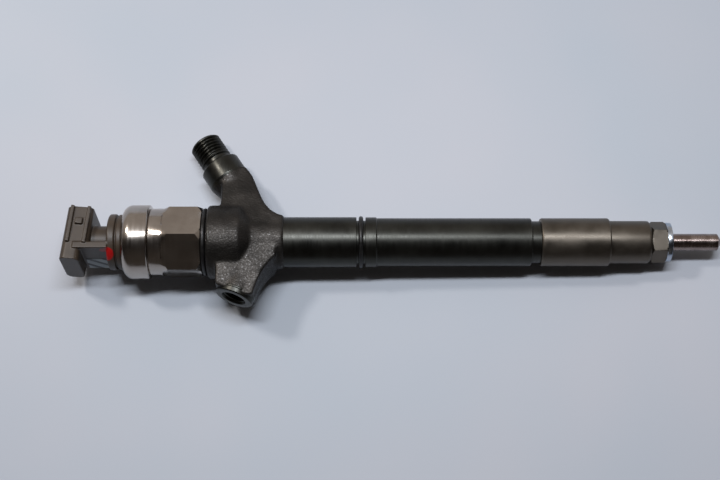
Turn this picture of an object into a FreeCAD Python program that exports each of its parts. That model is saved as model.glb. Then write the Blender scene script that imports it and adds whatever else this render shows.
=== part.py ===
import FreeCAD, Part
import math
import os
import re
import Sketcher

# Electromagnetic common-rail diesel injector, built piece by piece.
#
# Frame: +X runs along the injector towards the spray tip, and x = 0 is the face of the sealing
# washer that seats in the cylinder head. Every station below is a distance back from that face.
# Each piece is drawn in its own X, p, q axes: p points to the fuel inlet stub and to the open end
# of the electrical connector, q is square to X and p. The clock angle turns p and q about X, so
# that +Z is up when the injector lies on a bench.

DIMENSIONS = {
    "clock_angle": 12.0,
    # nozzle: body, needle and their seat
    "nozzle_shank_dia": 7.0,
    "nozzle_relief_dia": 6.4,
    "nozzle_neck_dia": 9.0,
    "nozzle_collar_dia": 14.3,
    "nozzle_length": 20.3,
    "nozzle_blunt_start": 19.0,
    "nozzle_blunt_dia": 3.2,
    "nozzle_collar_back": 28.0,
    "nozzle_collar_front": 11.5,
    "nozzle_neck_back": 10.6,
    "nozzle_neck_front": 3.6,
    "needle_guide_dia": 4.0,
    "needle_shaft_dia": 3.0,
    "needle_back": 27.65,
    "needle_guide_front": 15.0,
    "gallery_dia": 6.6,
    "nozzle_bore_dia": 3.8,
    "seat_start": 16.4,
    "sac_dia": 0.9,
    "sac_end": 19.45,
    "spray_hole_dia": 0.3,
    "spray_angle": 74.0,
    "fit_gap": 0.03,
    "seat_gap": 0.02,
    "nozzle_collar_chamfer": 0.9,
    "nozzle_neck_chamfer": 0.6,
    "gallery_back_gap": 0.5,
    "gallery_front_gap": 2.5,
    "gallery_taper_gap": 4.0,
    "drill_start": 0.5,
    "nozzle_feed_length": 13.5,
    "nozzle_feed_tilt": 12.5,
    "spray_hole_length": 4.0,
    "spray_hole_inset": 0.25,
    "needle_tip_dia": 0.7,
    "needle_taper": 1.0,
    # sealing washer
    "washer_dia": 16.4,
    "washer_face_dia": 10.6,
    "washer_back": 2.9,
    "washer_rim_front": 0.9,
    "washer_bore": 7.2,
    "washer_edge": 0.2,
    # nozzle retaining nut
    "clamp_nut_dia": 20.2,
    "clamp_nut_small_dia": 17.9,
    "clamp_nut_back": 55.5,
    "clamp_nut_step": 26.6,
    "clamp_nut_shoulder": 9.3,
    "clamp_nut_round": 1.5,
    "clamp_nut_bore": 14.6,
    "clamp_nut_seat": 11.4,
    "nose_flats": 15.0,
    "nose_bore": 9.4,
    "clamp_nut_edge": 0.6,
    "nose_runout": 0.8,
    "nose_edge_back": 0.5,
    "nose_edge": 0.4,
    "clamp_seat_land": 0.8,
    "clamp_seat_edge": 0.7,
    "clamp_thread_runout": 0.5,
    "nose_turn": 17.0,
    # distance piece, pressure pin, spring
    "spacer_back": 35.0,
    "dowel_dia": 1.6,
    "dowel_length": 5.0,
    "dowel_circle": 10.9,
    "dowel_angle": 55.0,
    "pressure_pin_dia": 3.0,
    "pressure_flange_dia": 7.6,
    "pressure_flange_back": 39.5,
    "pressure_flange_front": 37.5,
    "spring_chamber_dia": 8.0,
    "spring_chamber_back": 70.0,
    "nozzle_spring_dia": 7.4,
    "nozzle_spring_wire": 1.3,
    "nozzle_spring_front": 39.85,
    "nozzle_spring_pitch": 2.6,
    "spring_shim_front": 68.4,
    "spring_shim_bore": 3.8,
    # command piston
    "piston_dia": 5.0,
    "piston_tail_dia": 3.2,
    "piston_back": 192.3,
    "piston_tail_back": 72.0,
    # injector body: turned lengths
    "thread_spigot_dia": 16.9,
    "clamp_nut_thread_dia": 17.0,
    "undercut_dia": 17.7,
    "undercut_back": 59.3,
    "shank_front_dia": 20.2,
    "shank_band_front": 124.1,
    "shank_band_dia": 21.0,
    "ring_groove_front": 128.9,
    "ring_groove_back": 132.7,
    "ring_groove_dia": 18.2,
    "shank_dia": 21.1,
    "shank_back": 163.0,
    "root_dia": 22.8,
    "root_back": 176.5,
    "barrel_front": 181.0,
    "barrel_dia": 31.0,
    "barrel_back": 194.7,
    "seal_land_dia": 24.6,
    "seal_land_back": 197.3,
    "head_thread_dia": 23.9,
    "body_back": 207.0,
    # injector body: webs
    "web_back": 191.0,
    "upper_web_back": 189.8,
    "web_root_thick": 22.6,
    "web_upper_thick": 13.6,
    "web_lower_thick": 14.4,
    "upper_web_round": 14.0,
    # injector body: fuel inlet stub
    "inlet_foot": 168.8,
    "inlet_angle": 57.4,
    "inlet_length": 55.5,
    "inlet_thread_dia": 13.8,
    "inlet_thread_start": 45.4,
    "inlet_thread_chamfer": 0.9,
    "inlet_relief_dia": 12.3,
    "inlet_neck_dia": 13.4,
    "inlet_neck_end": 27.0,
    "inlet_boss_dia": 17.4,
    "inlet_boss_start": 34.0,
    "inlet_boss_end": 42.6,
    "inlet_cone_dia": 8.0,
    "inlet_cone_depth": 4.0,
    "inlet_bore": 3.2,
    "filter_front": 37.0,
    "filter_back": 50.0,
    "filter_core_dia": 2.4,
    "filter_tip_dia": 1.8,
    # injector body: return boss
    "return_foot": 174.3,
    "return_angle": 70.0,
    "return_length": 27.1,
    "return_boss_dia": 16.7,
    "return_collar_dia": 16.2,
    "return_collar_height": 2.0,
    "return_hole_dia": 8.92,
    "return_hole_mouth": 10.4,
    "return_hole_depth": 11.0,
    "leak_drill_dia": 2.4,
    # high-pressure drilling
    "fuel_drill_offset": 5.5,
    "fuel_drill_dia": 1.7,
    # control valve
    "chamber_dia": 18.0,
    "chamber_front": 191.0,
    "valve_stem_dia": 9.7,
    "valve_stem_bore": 9.8,
    "valve_stem_front": 176.0,
    "valve_flange_dia": 16.0,
    "valve_face": 197.0,
    "control_room_back": 193.0,
    "throttle_dia": 0.8,
    "ball_dia": 1.6,
    "ball_centre": 197.14,
    "clamp_ring_dia": 17.9,
    "clamp_ring_back": 202.0,
    "guide_dia": 9.1,
    "guide_back": 203.0,
    "guide_front": 198.6,
    "armature_stem_dia": 3.0,
    "armature_dia": 16.8,
    "armature_back": 206.8,
    "armature_front": 204.6,
    "ball_cup_back": 198.2,
    "ball_cup_front": 197.5,
    # solenoid
    "gap_shim_back": 208.0,
    "core_dia": 19.0,
    "core_back": 224.0,
    "core_front": 207.2,
    "core_bore": 4.6,
    "coil_slot_back": 216.0,
    "coil_slot_inner": 8.6,
    "coil_slot_outer": 14.8,
    "bobbin_back": 215.9,
    "bobbin_front": 207.6,
    "bobbin_inner": 8.8,
    "bobbin_outer": 14.6,
    "bobbin_hub": 10.0,
    "bobbin_wall": 0.8,
    "winding_outer": 14.2,
    "valve_spring_dia": 3.8,
    "valve_spring_wire": 0.7,
    "valve_spring_back": 217.5,
    "valve_spring_front": 206.95,
    "valve_spring_pitch": 1.6,
    "spring_plug_back": 223.2,
    # solenoid housing and its retaining nut
    "housing_back": 230.5,
    "housing_dia": 31.2,
    "housing_round": 4.2,
    "housing_bore": 19.1,
    "sleeve_dia": 21.6,
    "sleeve_shoulder_dia": 22.6,
    "sleeve_shoulder_back": 212.4,
    "cap_nut_back": 219.2,
    "cap_nut_collar_front": 213.5,
    "cap_nut_collar_dia": 28.3,
    "cap_nut_flats": 27.0,
    "cap_nut_turn": 41.0,
    "cap_nut_lip": 21.8,
    "cap_nut_bore": 24.0,
    "head_ring_mean_dia": 26.6,
    "head_ring_section": 2.0,
    "head_ring_station": 196.25,
    "body_ring_mean_dia": 20.1,
    "body_ring_section": 1.9,
    # electrical connector
    "plug_front": 224.2,
    "plug_dia": 19.0,
    "plug_ring_groove": 15.8,
    "plug_ring_back": 229.0,
    "plug_ring_front": 226.8,
    "base_ring_dia": 23.2,
    "base_ring_back": 232.3,
    "base_groove_dia": 21.0,
    "base_groove_back": 233.2,
    "base_disc_dia": 23.6,
    "base_disc_back": 236.4,
    "base_disc_round": 0.9,
    "post_dia": 13.5,
    "post_back": 244.4,
    "arm_low": 7.1,
    "arm_high": 4.35,
    "arm_width": 21.5,
    "shroud_slant": 5.0,
    "shroud_centre": 248.6,
    "shroud_width": 20.5,
    "shroud_depth": 10.2,
    "shroud_mouth": 11.8,
    "shroud_foot": 11.7,
    "shroud_corner": 3.2,
    "shroud_key_corner": 2.0,
    "foot_depth": 7.9,
    "foot_offset": 1.95,
    "foot_corner": 2.5,
    "foot_key_corner": 2.5,
    "shroud_wall": 1.25,
    "cavity_floor": 3.2,
    "rib_width": 1.5,
    "rib_height": 1.2,
    "rib_foot": 4.6,
    "rib_offset": 3.5,
    "rib_root": 2.0,
    "latch_length": 3.0,
    "latch_rise": 2.7,
    "latch_height": 1.2,
    "latch_place": 5.0,
    "blade_width": 1.5,
    "blade_thick": 0.6,
    "blade_spacing": 6.0,
    "blade_depth": 5.7,
    "blade_tip": 3.5,
    "label_length": 9.6,
    "label_width": 9.5,
    "label_thick": 0.15,
    # webs, edges and drillings of the forged body
    "pin_edge": 0.3,
    "spring_shim_gap": 0.1,
    "piston_tail_taper": 1.0,
    "upper_web_heel": 24.0,
    "upper_web_flank_back": 188.0,
    "upper_web_flank": 29.5,
    "upper_web_crest_back": 184.0,
    "upper_web_crest": 33.0,
    "upper_web_kink_back": 177.2,
    "upper_web_kink": 28.8,
    "upper_web_fillet_back": 173.0,
    "upper_web_fillet": 17.6,
    "upper_web_toe_back": 169.2,
    "upper_web_toe": 11.0,
    "upper_web_root": 7.6,
    "lower_web_heel": 21.5,
    "lower_web_flank_back": 189.5,
    "lower_web_flank": 22.4,
    "lower_web_boss_back": 178.5,
    "lower_web_boss": 26.6,
    "lower_web_corner_back": 175.2,
    "lower_web_corner": 26.2,
    "lower_web_waist_back": 173.0,
    "lower_web_waist": 19.4,
    "lower_web_fillet_back": 169.6,
    "lower_web_fillet": 13.7,
    "lower_web_toe_back": 166.2,
    "lower_web_toe": 9.6,
    "lower_web_root_back": 165.8,
    "web_taper_upper": 30.0,
    "web_taper_lower": 24.0,
    "web_taper_reach": 50.0,
    "web_taper_side": 20.0,
    "body_edge": 0.9,
    "barrel_edge": 0.7,
    "shank_root_step": 0.5,
    "shank_edge": 0.4,
    "spigot_relief": 2.0,
    "spigot_edge": 0.7,
    "inlet_root": 15.0,
    "inlet_boss_edge": 0.5,
    "inlet_thread_runout": 0.4,
    "inlet_bore_start": 5.5,
    "return_root": 6.0,
    "return_edge": 0.4,
    "return_drill_point": 2.2,
    "fuel_drill_back": 176.0,
    "leak_drill_start": 1.0,
    "leak_drill_length": 15.2,
    "leak_drill_turn": 152.0,
    "filter_taper": 1.0,
    "filter_tip_land": 3.0,
    "filter_back_land": 1.6,
    # control valve details
    "valve_edge": 0.5,
    "valve_seat_radius": 1.0,
    "valve_seat_depth": 0.6,
    "inlet_throttle_dia": 0.6,
    "inlet_throttle_length": 6.0,
    "inlet_throttle_offset": 0.4,
    "inlet_throttle_turn": 52.0,
    "clamp_ring_gap": 0.05,
    "clamp_ring_edge": 0.4,
    "notch_inner": 7.2,
    "notch_outer": 10.0,
    "notch_half_width": 1.1,
    "armature_slot_inner": 4.2,
    "armature_slot_outer": 9.0,
    "armature_slot_half_width": 0.7,
    "lead_hole_dia": 2.3,
    # head and connector details
    "housing_edge": 0.4,
    "cap_nut_collar_slope": 2.6,
    "cap_nut_nose_slope": 1.9,
    "cap_nut_nose_edge": 1.2,
    "cap_nut_floor_gap": 0.1,
    "base_groove_edge": 0.3,
    "arm_overrun": 1.5,
    "arm_base_overlap": 0.5,
    "label_gap": 0.2,
    "plug_ring_section": 1.6,
    "plug_ring_stretch": 0.05,
}

doc = FreeCAD.newDocument("injector")
dims = doc.addObject("Spreadsheet::Sheet", "Dims")
for row, (alias, value) in enumerate(DIMENSIONS.items(), start=1):
    dims.set("A%d" % row, str(value))
    dims.setAlias("A%d" % row, alias)
doc.recompute()

ALIAS = re.compile(r"\b(%s)\b" % "|".join(sorted(DIMENSIONS, key=len, reverse=True)))
pieces = []


def bound(expression):
    """An expression with each dimension's name pointed at the sheet."""
    return ALIAS.sub(r"Dims.\1", str(expression))


def number(expression):
    """The present value of an expression in the sheet's dimensions."""
    return float(dims.evalExpression(bound(expression)))


def bind(thing, path, expression):
    thing.setExpression(path, bound(expression))


def clocked(thing):
    """Turns a finished piece about X to the rest position, and lists it as a sub-part."""
    thing.Placement = FreeCAD.Placement(FreeCAD.Vector(), FreeCAD.Rotation(FreeCAD.Vector(1, 0, 0), -1))
    bind(thing, "Placement.Rotation.Angle", "-clock_angle")
    pieces.append(thing)
    return thing


def new_body(name):
    body = doc.addObject("PartDesign::Body", name)
    body.Label = name
    return body


def new_sketch(body, name, plane="XY_Plane", x="0", y="0", z="0", turn="0", about=(0, 0, 1)):
    """A sketch on one of the body's own planes, shifted and turned within that plane's axes."""
    sketch = body.newObject("Sketcher::SketchObject", name)
    planes = [item for item in body.Origin.OriginFeatures if item.Role == plane]
    sketch.AttachmentSupport = (planes[0], [""])
    sketch.MapMode = "FlatFace"
    rotation = FreeCAD.Rotation(FreeCAD.Vector(*about), 1)
    sketch.AttachmentOffset = FreeCAD.Placement(FreeCAD.Vector(), rotation)
    for path, expression in (("x", x), ("y", y), ("z", z)):
        bind(sketch, "AttachmentOffset.Base." + path, expression)
    bind(sketch, "AttachmentOffset.Rotation.Angle", turn)
    return sketch


def pin_point(sketch, edge, end, x, y):
    """Fixes one end of an edge at x, y, each an expression measured from the sketch's origin."""
    for kind, expression, axis in (("DistanceX", x, -2), ("DistanceY", y, -1)):
        value = number(expression)
        if abs(value) < 1e-9:
            sketch.addConstraint(Sketcher.Constraint("PointOnObject", edge, end, axis))
        else:
            index = sketch.addConstraint(Sketcher.Constraint(kind, -1, 1, edge, end, value))
            bind(sketch, "Constraints[%d]" % index, expression)


def arc_edge(start, end, radius, side):
    """An arc from start to end, with its centre on the given side of the way from one to the other."""
    chord = end - start
    middle = (start + end) * 0.5
    square = FreeCAD.Vector(-chord.y, chord.x, 0).normalize()
    rise = math.sqrt(max(radius ** 2 - (chord.Length / 2) ** 2, 0))
    centre = middle + square * (rise if side == "left" else -rise)
    first, last = (start, end) if side == "left" else (end, start)
    angles = [math.atan2(point.y - centre.y, point.x - centre.x) for point in (first, last)]
    circle = Part.Circle(centre, FreeCAD.Vector(0, 0, 1), radius)
    return Part.ArcOfCircle(circle, angles[0], angles[1])


def draw(sketch, outline, arcs=None):
    """A closed outline. arcs gives, for the edge after a corner, its radius and its centre's side."""
    arcs = arcs or {}
    corners = [FreeCAD.Vector(number(x), number(y), 0) for x, y in outline]
    ends = []
    for index, corner in enumerate(corners):
        following = corners[(index + 1) % len(corners)]
        if index in arcs:
            radius, side = arcs[index]
            edge = sketch.addGeometry(arc_edge(corner, following, number(radius), side), False)
            ends.append((edge, 1, 2) if side == "left" else (edge, 2, 1))
        else:
            edge = sketch.addGeometry(Part.LineSegment(corner, following), False)
            ends.append((edge, 1, 2))
    for index, (edge, _, finish) in enumerate(ends):
        after, start, _ = ends[(index + 1) % len(ends)]
        sketch.addConstraint(Sketcher.Constraint("Coincident", edge, finish, after, start))
    for (edge, start, _), (x, y) in zip(ends, outline):
        pin_point(sketch, edge, start, x, y)
    for index, (radius, _) in arcs.items():
        edge = ends[index][0]
        place = sketch.addConstraint(Sketcher.Constraint("Radius", edge, number(radius)))
        bind(sketch, "Constraints[%d]" % place, radius)


def circle_at(sketch, x, y, diameter):
    centre = FreeCAD.Vector(number(x), number(y), 0)
    edge = sketch.addGeometry(Part.Circle(centre, FreeCAD.Vector(0, 0, 1), number(diameter) / 2), False)
    pin_point(sketch, edge, 3, x, y)
    index = sketch.addConstraint(Sketcher.Constraint("Diameter", edge, number(diameter)))
    bind(sketch, "Constraints[%d]" % index, diameter)


def turned(body, name, outline, arcs=None, cut=False, **place):
    """Turns an outline of (x, radius) corners about the sketch's own x axis."""
    sketch = new_sketch(body, name + "_outline", **place)
    draw(sketch, outline, arcs)
    feature = body.newObject("PartDesign::Groove" if cut else "PartDesign::Revolution", name)
    feature.Profile = sketch
    feature.ReferenceAxis = (sketch, ["H_Axis"])
    feature.Angle = 360
    doc.recompute()
    return feature


def bored(body, name, outline, **place):
    return turned(body, name, outline, cut=True, **place)


def raised(body, name, sketch, length, both_ways=False, cut=False):
    """A pad along the sketch's normal, or with cut a pocket the same way."""
    feature = body.newObject("PartDesign::Pocket" if cut else "PartDesign::Pad", name)
    feature.Profile = sketch
    feature.Reversed = cut
    bind(feature, "Length", length)
    if both_ways:
        feature.Midplane = True
    doc.recompute()
    return feature


def ringed(body, feature, count):
    """Repeats a feature round the X axis."""
    pattern = body.newObject("PartDesign::PolarPattern", feature.Name + "_ring")
    pattern.Originals = [feature]
    axes = [item for item in body.Origin.OriginFeatures if item.Role == "X_Axis"]
    pattern.Axis = (axes[0], [""])
    pattern.Angle = 360
    pattern.Occurrences = count
    body.Tip = pattern
    doc.recompute()


def hexagonal(body, name, station, length, flats, turn):
    """Mills a turned blank to a hexagon between two stations, leaving the turned end chamfers."""
    sketch = new_sketch(body, name + "_outline", plane="YZ_Plane", z="-(%s)" % station)
    corner = "%s / sqrt(3) * " % flats
    draw(sketch, [(corner + "cos(%d + %s)" % (side, turn), corner + "sin(%d + %s)" % (side, turn))
                  for side in range(0, 360, 60)])
    circle_at(sketch, "0", "0", "3 * %s" % flats)
    return raised(body, name, sketch, length, cut=True)


def ring(name, outline, arcs=None):
    """A body that is one turned shape."""
    body = new_body(name)
    turned(body, name + "_turned", outline, arcs)
    return clocked(body)


def o_ring(name, station, mean_dia, section):
    torus = doc.addObject("Part::Torus", name)
    torus.Label = name
    bind(torus, "Radius1", "%s / 2" % mean_dia)
    bind(torus, "Radius2", "%s / 2" % section)
    torus.Placement = FreeCAD.Placement(FreeCAD.Vector(), FreeCAD.Rotation(FreeCAD.Vector(0, 1, 0), 90))
    bind(torus, "Placement.Base.x", "-(%s)" % station)
    pieces.append(torus)
    return torus


def coil_spring(name, back, front, diameter, wire, pitch):
    """A helical spring of round wire about X, between two stations."""
    body = new_body(name)
    sketch = new_sketch(body, name + "_wire")
    circle_at(sketch, "-%s + %s / 2" % (back, wire), "(%s - %s) / 2" % (diameter, wire), wire)
    doc.recompute()
    helix = body.newObject("PartDesign::AdditiveHelix", name + "_turns")
    helix.Profile = sketch
    helix.ReferenceAxis = (sketch, ["H_Axis"])
    helix.Mode = 0
    bind(helix, "Pitch", pitch)
    bind(helix, "Height", "%s - %s - %s" % (back, front, wire))
    doc.recompute()
    return clocked(body)


# ---------------------------------------------------------------- nozzle

def nozzle_body():
    """Hardened nozzle: collar clamped by the nut, shank through the washer, blunt sprayed tip."""
    body = new_body("nozzle_body")
    turned(body, "nozzle_outside", [
        ("-nozzle_collar_back", "0"),
        ("-nozzle_collar_back", "nozzle_collar_dia / 2"),
        ("-nozzle_collar_front", "nozzle_collar_dia / 2"),
        ("-nozzle_neck_back", "nozzle_collar_dia / 2 - nozzle_collar_chamfer"),
        ("-nozzle_neck_back", "nozzle_neck_dia / 2"),
        ("-nozzle_neck_front", "nozzle_neck_dia / 2"),
        ("-nozzle_neck_front + nozzle_neck_chamfer", "nozzle_relief_dia / 2"),
        ("0", "nozzle_relief_dia / 2"),
        ("0", "nozzle_shank_dia / 2"),
        ("nozzle_blunt_start", "nozzle_shank_dia / 2"),
        ("nozzle_length", "nozzle_blunt_dia / 2"),
        ("nozzle_length", "0")])
    bored(body, "nozzle_inside", [
        ("-nozzle_collar_back", "0"),
        ("-nozzle_collar_back", "needle_guide_dia / 2 + fit_gap"),
        ("-needle_guide_front - gallery_back_gap", "needle_guide_dia / 2 + fit_gap"),
        ("-needle_guide_front - gallery_back_gap", "gallery_dia / 2"),
        ("-needle_guide_front + gallery_front_gap", "gallery_dia / 2"),
        ("-needle_guide_front + gallery_taper_gap", "nozzle_bore_dia / 2"),
        ("seat_start", "nozzle_bore_dia / 2"),
        ("seat_start + (nozzle_bore_dia - sac_dia) / 2 * sqrt(3)", "sac_dia / 2"),
        ("sac_end", "sac_dia / 2"),
        ("sac_end", "0")])
    bored(body, "nozzle_feed", [
        ("-drill_start", "0"), ("-drill_start", "fuel_drill_dia / 2"),
        ("nozzle_feed_length", "fuel_drill_dia / 2"), ("nozzle_feed_length", "0")],
        x="-nozzle_collar_back", y="fuel_drill_offset", turn="-nozzle_feed_tilt")
    hole = bored(body, "spray_hole", [
        ("0", "0"), ("0", "spray_hole_dia / 2"),
        ("spray_hole_length", "spray_hole_dia / 2"), ("spray_hole_length", "0")],
        x="sac_end - spray_hole_inset", turn="spray_angle")
    ringed(body, hole, 6)
    dowel_holes(body, "nozzle_collar_back - dowel_length / 2", "dowel_length")
    return clocked(body)


def dowel_holes(body, station, depth):
    """The two dowel holes in a face, drilled towards the tail from the given station."""
    sketch = new_sketch(body, body.Name + "_dowels", plane="YZ_Plane", z="-(%s) - (%s)" % (station, depth))
    for side in ("", "-"):
        circle_at(sketch, "-dowel_circle / 2 * cos(dowel_angle)",
                  side + "dowel_circle / 2 * sin(dowel_angle)", "dowel_dia")
    raised(body, body.Name + "_dowel_holes", sketch, depth, cut=True)


def nozzle_needle():
    """Needle: guided at the back, tapering to the sixty-degree seat in the tip."""
    return ring("nozzle_needle", [
        ("-needle_back", "0"),
        ("-needle_back", "needle_guide_dia / 2"),
        ("-needle_guide_front", "needle_guide_dia / 2"),
        ("-needle_guide_front + needle_taper", "needle_shaft_dia / 2"),
        ("seat_start + (nozzle_bore_dia - needle_shaft_dia) / 2 * sqrt(3) - seat_gap",
         "needle_shaft_dia / 2"),
        ("seat_start + (nozzle_bore_dia - needle_tip_dia) / 2 * sqrt(3) - seat_gap", "needle_tip_dia / 2"),
        ("seat_start + (nozzle_bore_dia - needle_tip_dia) / 2 * sqrt(3) - seat_gap", "0")])


def sealing_washer():
    """Bevelled steel washer that seals the nozzle in the cylinder head."""
    return ring("sealing_washer", [
        ("-washer_back", "washer_bore / 2"),
        ("-washer_back", "washer_dia / 2 - washer_edge"),
        ("-washer_back + washer_edge", "washer_dia / 2"),
        ("-washer_rim_front", "washer_dia / 2"),
        ("0", "washer_face_dia / 2"),
        ("0", "washer_bore / 2")])


def nozzle_nut():
    """Slim nut that clamps nozzle and distance piece to the body, with a hexagonal nose."""
    body = new_body("nozzle_retaining_nut")
    turned(body, "clamp_nut_outside", [
        ("-clamp_nut_back", "clamp_nut_thread_dia / 2"),
        ("-clamp_nut_back", "clamp_nut_dia / 2 - clamp_nut_edge"),
        ("-clamp_nut_back + clamp_nut_edge", "clamp_nut_dia / 2"),
        ("-clamp_nut_step - clamp_nut_edge", "clamp_nut_dia / 2"),
        ("-clamp_nut_step", "clamp_nut_dia / 2 - clamp_nut_edge"),
        ("-clamp_nut_step", "clamp_nut_small_dia / 2"),
        ("-clamp_nut_shoulder - clamp_nut_round", "clamp_nut_small_dia / 2"),
        ("-clamp_nut_shoulder", "clamp_nut_small_dia / 2 - clamp_nut_round"),
        ("-clamp_nut_shoulder", "nose_flats / 2"),
        ("-clamp_nut_shoulder + nose_runout", "nose_flats / sqrt(3)"),
        ("-washer_back - nose_edge_back", "nose_flats / sqrt(3)"),
        ("-washer_back", "nose_flats / sqrt(3) - nose_edge"),
        ("-washer_back", "nose_bore / 2"),
        ("-clamp_nut_seat + clamp_seat_land", "nose_bore / 2"),
        ("-clamp_nut_seat + clamp_seat_land", "nozzle_collar_dia / 2 - clamp_seat_edge"),
        ("-clamp_nut_seat", "clamp_nut_bore / 2"),
        ("-spacer_back - clamp_thread_runout", "clamp_nut_bore / 2"),
        ("-spacer_back - clamp_thread_runout", "clamp_nut_thread_dia / 2")],
        arcs={6: ("clamp_nut_round", "right")})
    hexagonal(body, "nose_hexagon", "clamp_nut_shoulder", "clamp_nut_shoulder - washer_back",
              "nose_flats", "nose_turn")
    return clocked(body)


# ---------------------------------------------------------------- between nozzle and valve

def distance_piece():
    """Hardened plate between body and nozzle, with the fuel passage and the pressure pin's bore."""
    body = new_body("distance_piece")
    turned(body, "spacer_outside", [
        ("-spacer_back", "pressure_pin_dia / 2 + fit_gap"),
        ("-spacer_back", "nozzle_collar_dia / 2"),
        ("-nozzle_collar_back", "nozzle_collar_dia / 2"),
        ("-nozzle_collar_back", "pressure_pin_dia / 2 + fit_gap")])
    bored(body, "spacer_feed", [
        ("-spacer_back - 1", "0"), ("-spacer_back - 1", "fuel_drill_dia / 2"),
        ("-nozzle_collar_back + 1", "fuel_drill_dia / 2"), ("-nozzle_collar_back + 1", "0")],
        y="fuel_drill_offset")
    dowel_holes(body, "nozzle_collar_back - dowel_length / 2", "dowel_length")
    return clocked(body)


def dowel_pins():
    """Two dowels that time the nozzle to the distance piece."""
    dowels = []
    for side, sign in (("upper", ""), ("lower", "-")):
        dowel = doc.addObject("Part::Cylinder", side + "_dowel")
        dowel.Placement.Rotation = FreeCAD.Rotation(FreeCAD.Vector(0, 1, 0), 90)
        bind(dowel, "Radius", "dowel_dia / 2")
        bind(dowel, "Height", "dowel_length")
        bind(dowel, "Placement.Base.x", "-nozzle_collar_back - dowel_length / 2")
        bind(dowel, "Placement.Base.y", "-dowel_circle / 2 * cos(dowel_angle)")
        bind(dowel, "Placement.Base.z", sign + "dowel_circle / 2 * sin(dowel_angle)")
        dowels.append(dowel)
    pair = doc.addObject("Part::Compound", "dowel_pins")
    pair.Label = "dowel_pins"
    pair.Links = dowels
    return clocked(pair)


def pressure_pin():
    """Spring seat whose pin pushes the needle through the distance piece."""
    return ring("pressure_pin", [
        ("-pressure_flange_back", "0"),
        ("-pressure_flange_back", "pressure_flange_dia / 2 - pin_edge"),
        ("-pressure_flange_back + pin_edge", "pressure_flange_dia / 2"),
        ("-pressure_flange_front", "pressure_flange_dia / 2"),
        ("-pressure_flange_front", "pressure_pin_dia / 2"),
        ("-needle_back", "pressure_pin_dia / 2"),
        ("-needle_back", "0")])


def spring_shim():
    return ring("spring_shim", [
        ("-spring_chamber_back", "spring_shim_bore / 2"),
        ("-spring_chamber_back", "spring_chamber_dia / 2 - spring_shim_gap"),
        ("-spring_shim_front", "spring_chamber_dia / 2 - spring_shim_gap"),
        ("-spring_shim_front", "spring_shim_bore / 2")])


def command_piston():
    """Long lapped rod from the control chamber to the pressure pin."""
    return ring("command_piston", [
        ("-piston_back", "0"),
        ("-piston_back", "piston_dia / 2 - pin_edge"),
        ("-piston_back + pin_edge", "piston_dia / 2"),
        ("-piston_tail_back - piston_tail_taper", "piston_dia / 2"),
        ("-piston_tail_back", "piston_tail_dia / 2"),
        ("-pressure_flange_back", "piston_tail_dia / 2"),
        ("-pressure_flange_back", "0")])


# ---------------------------------------------------------------- forged body

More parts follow.
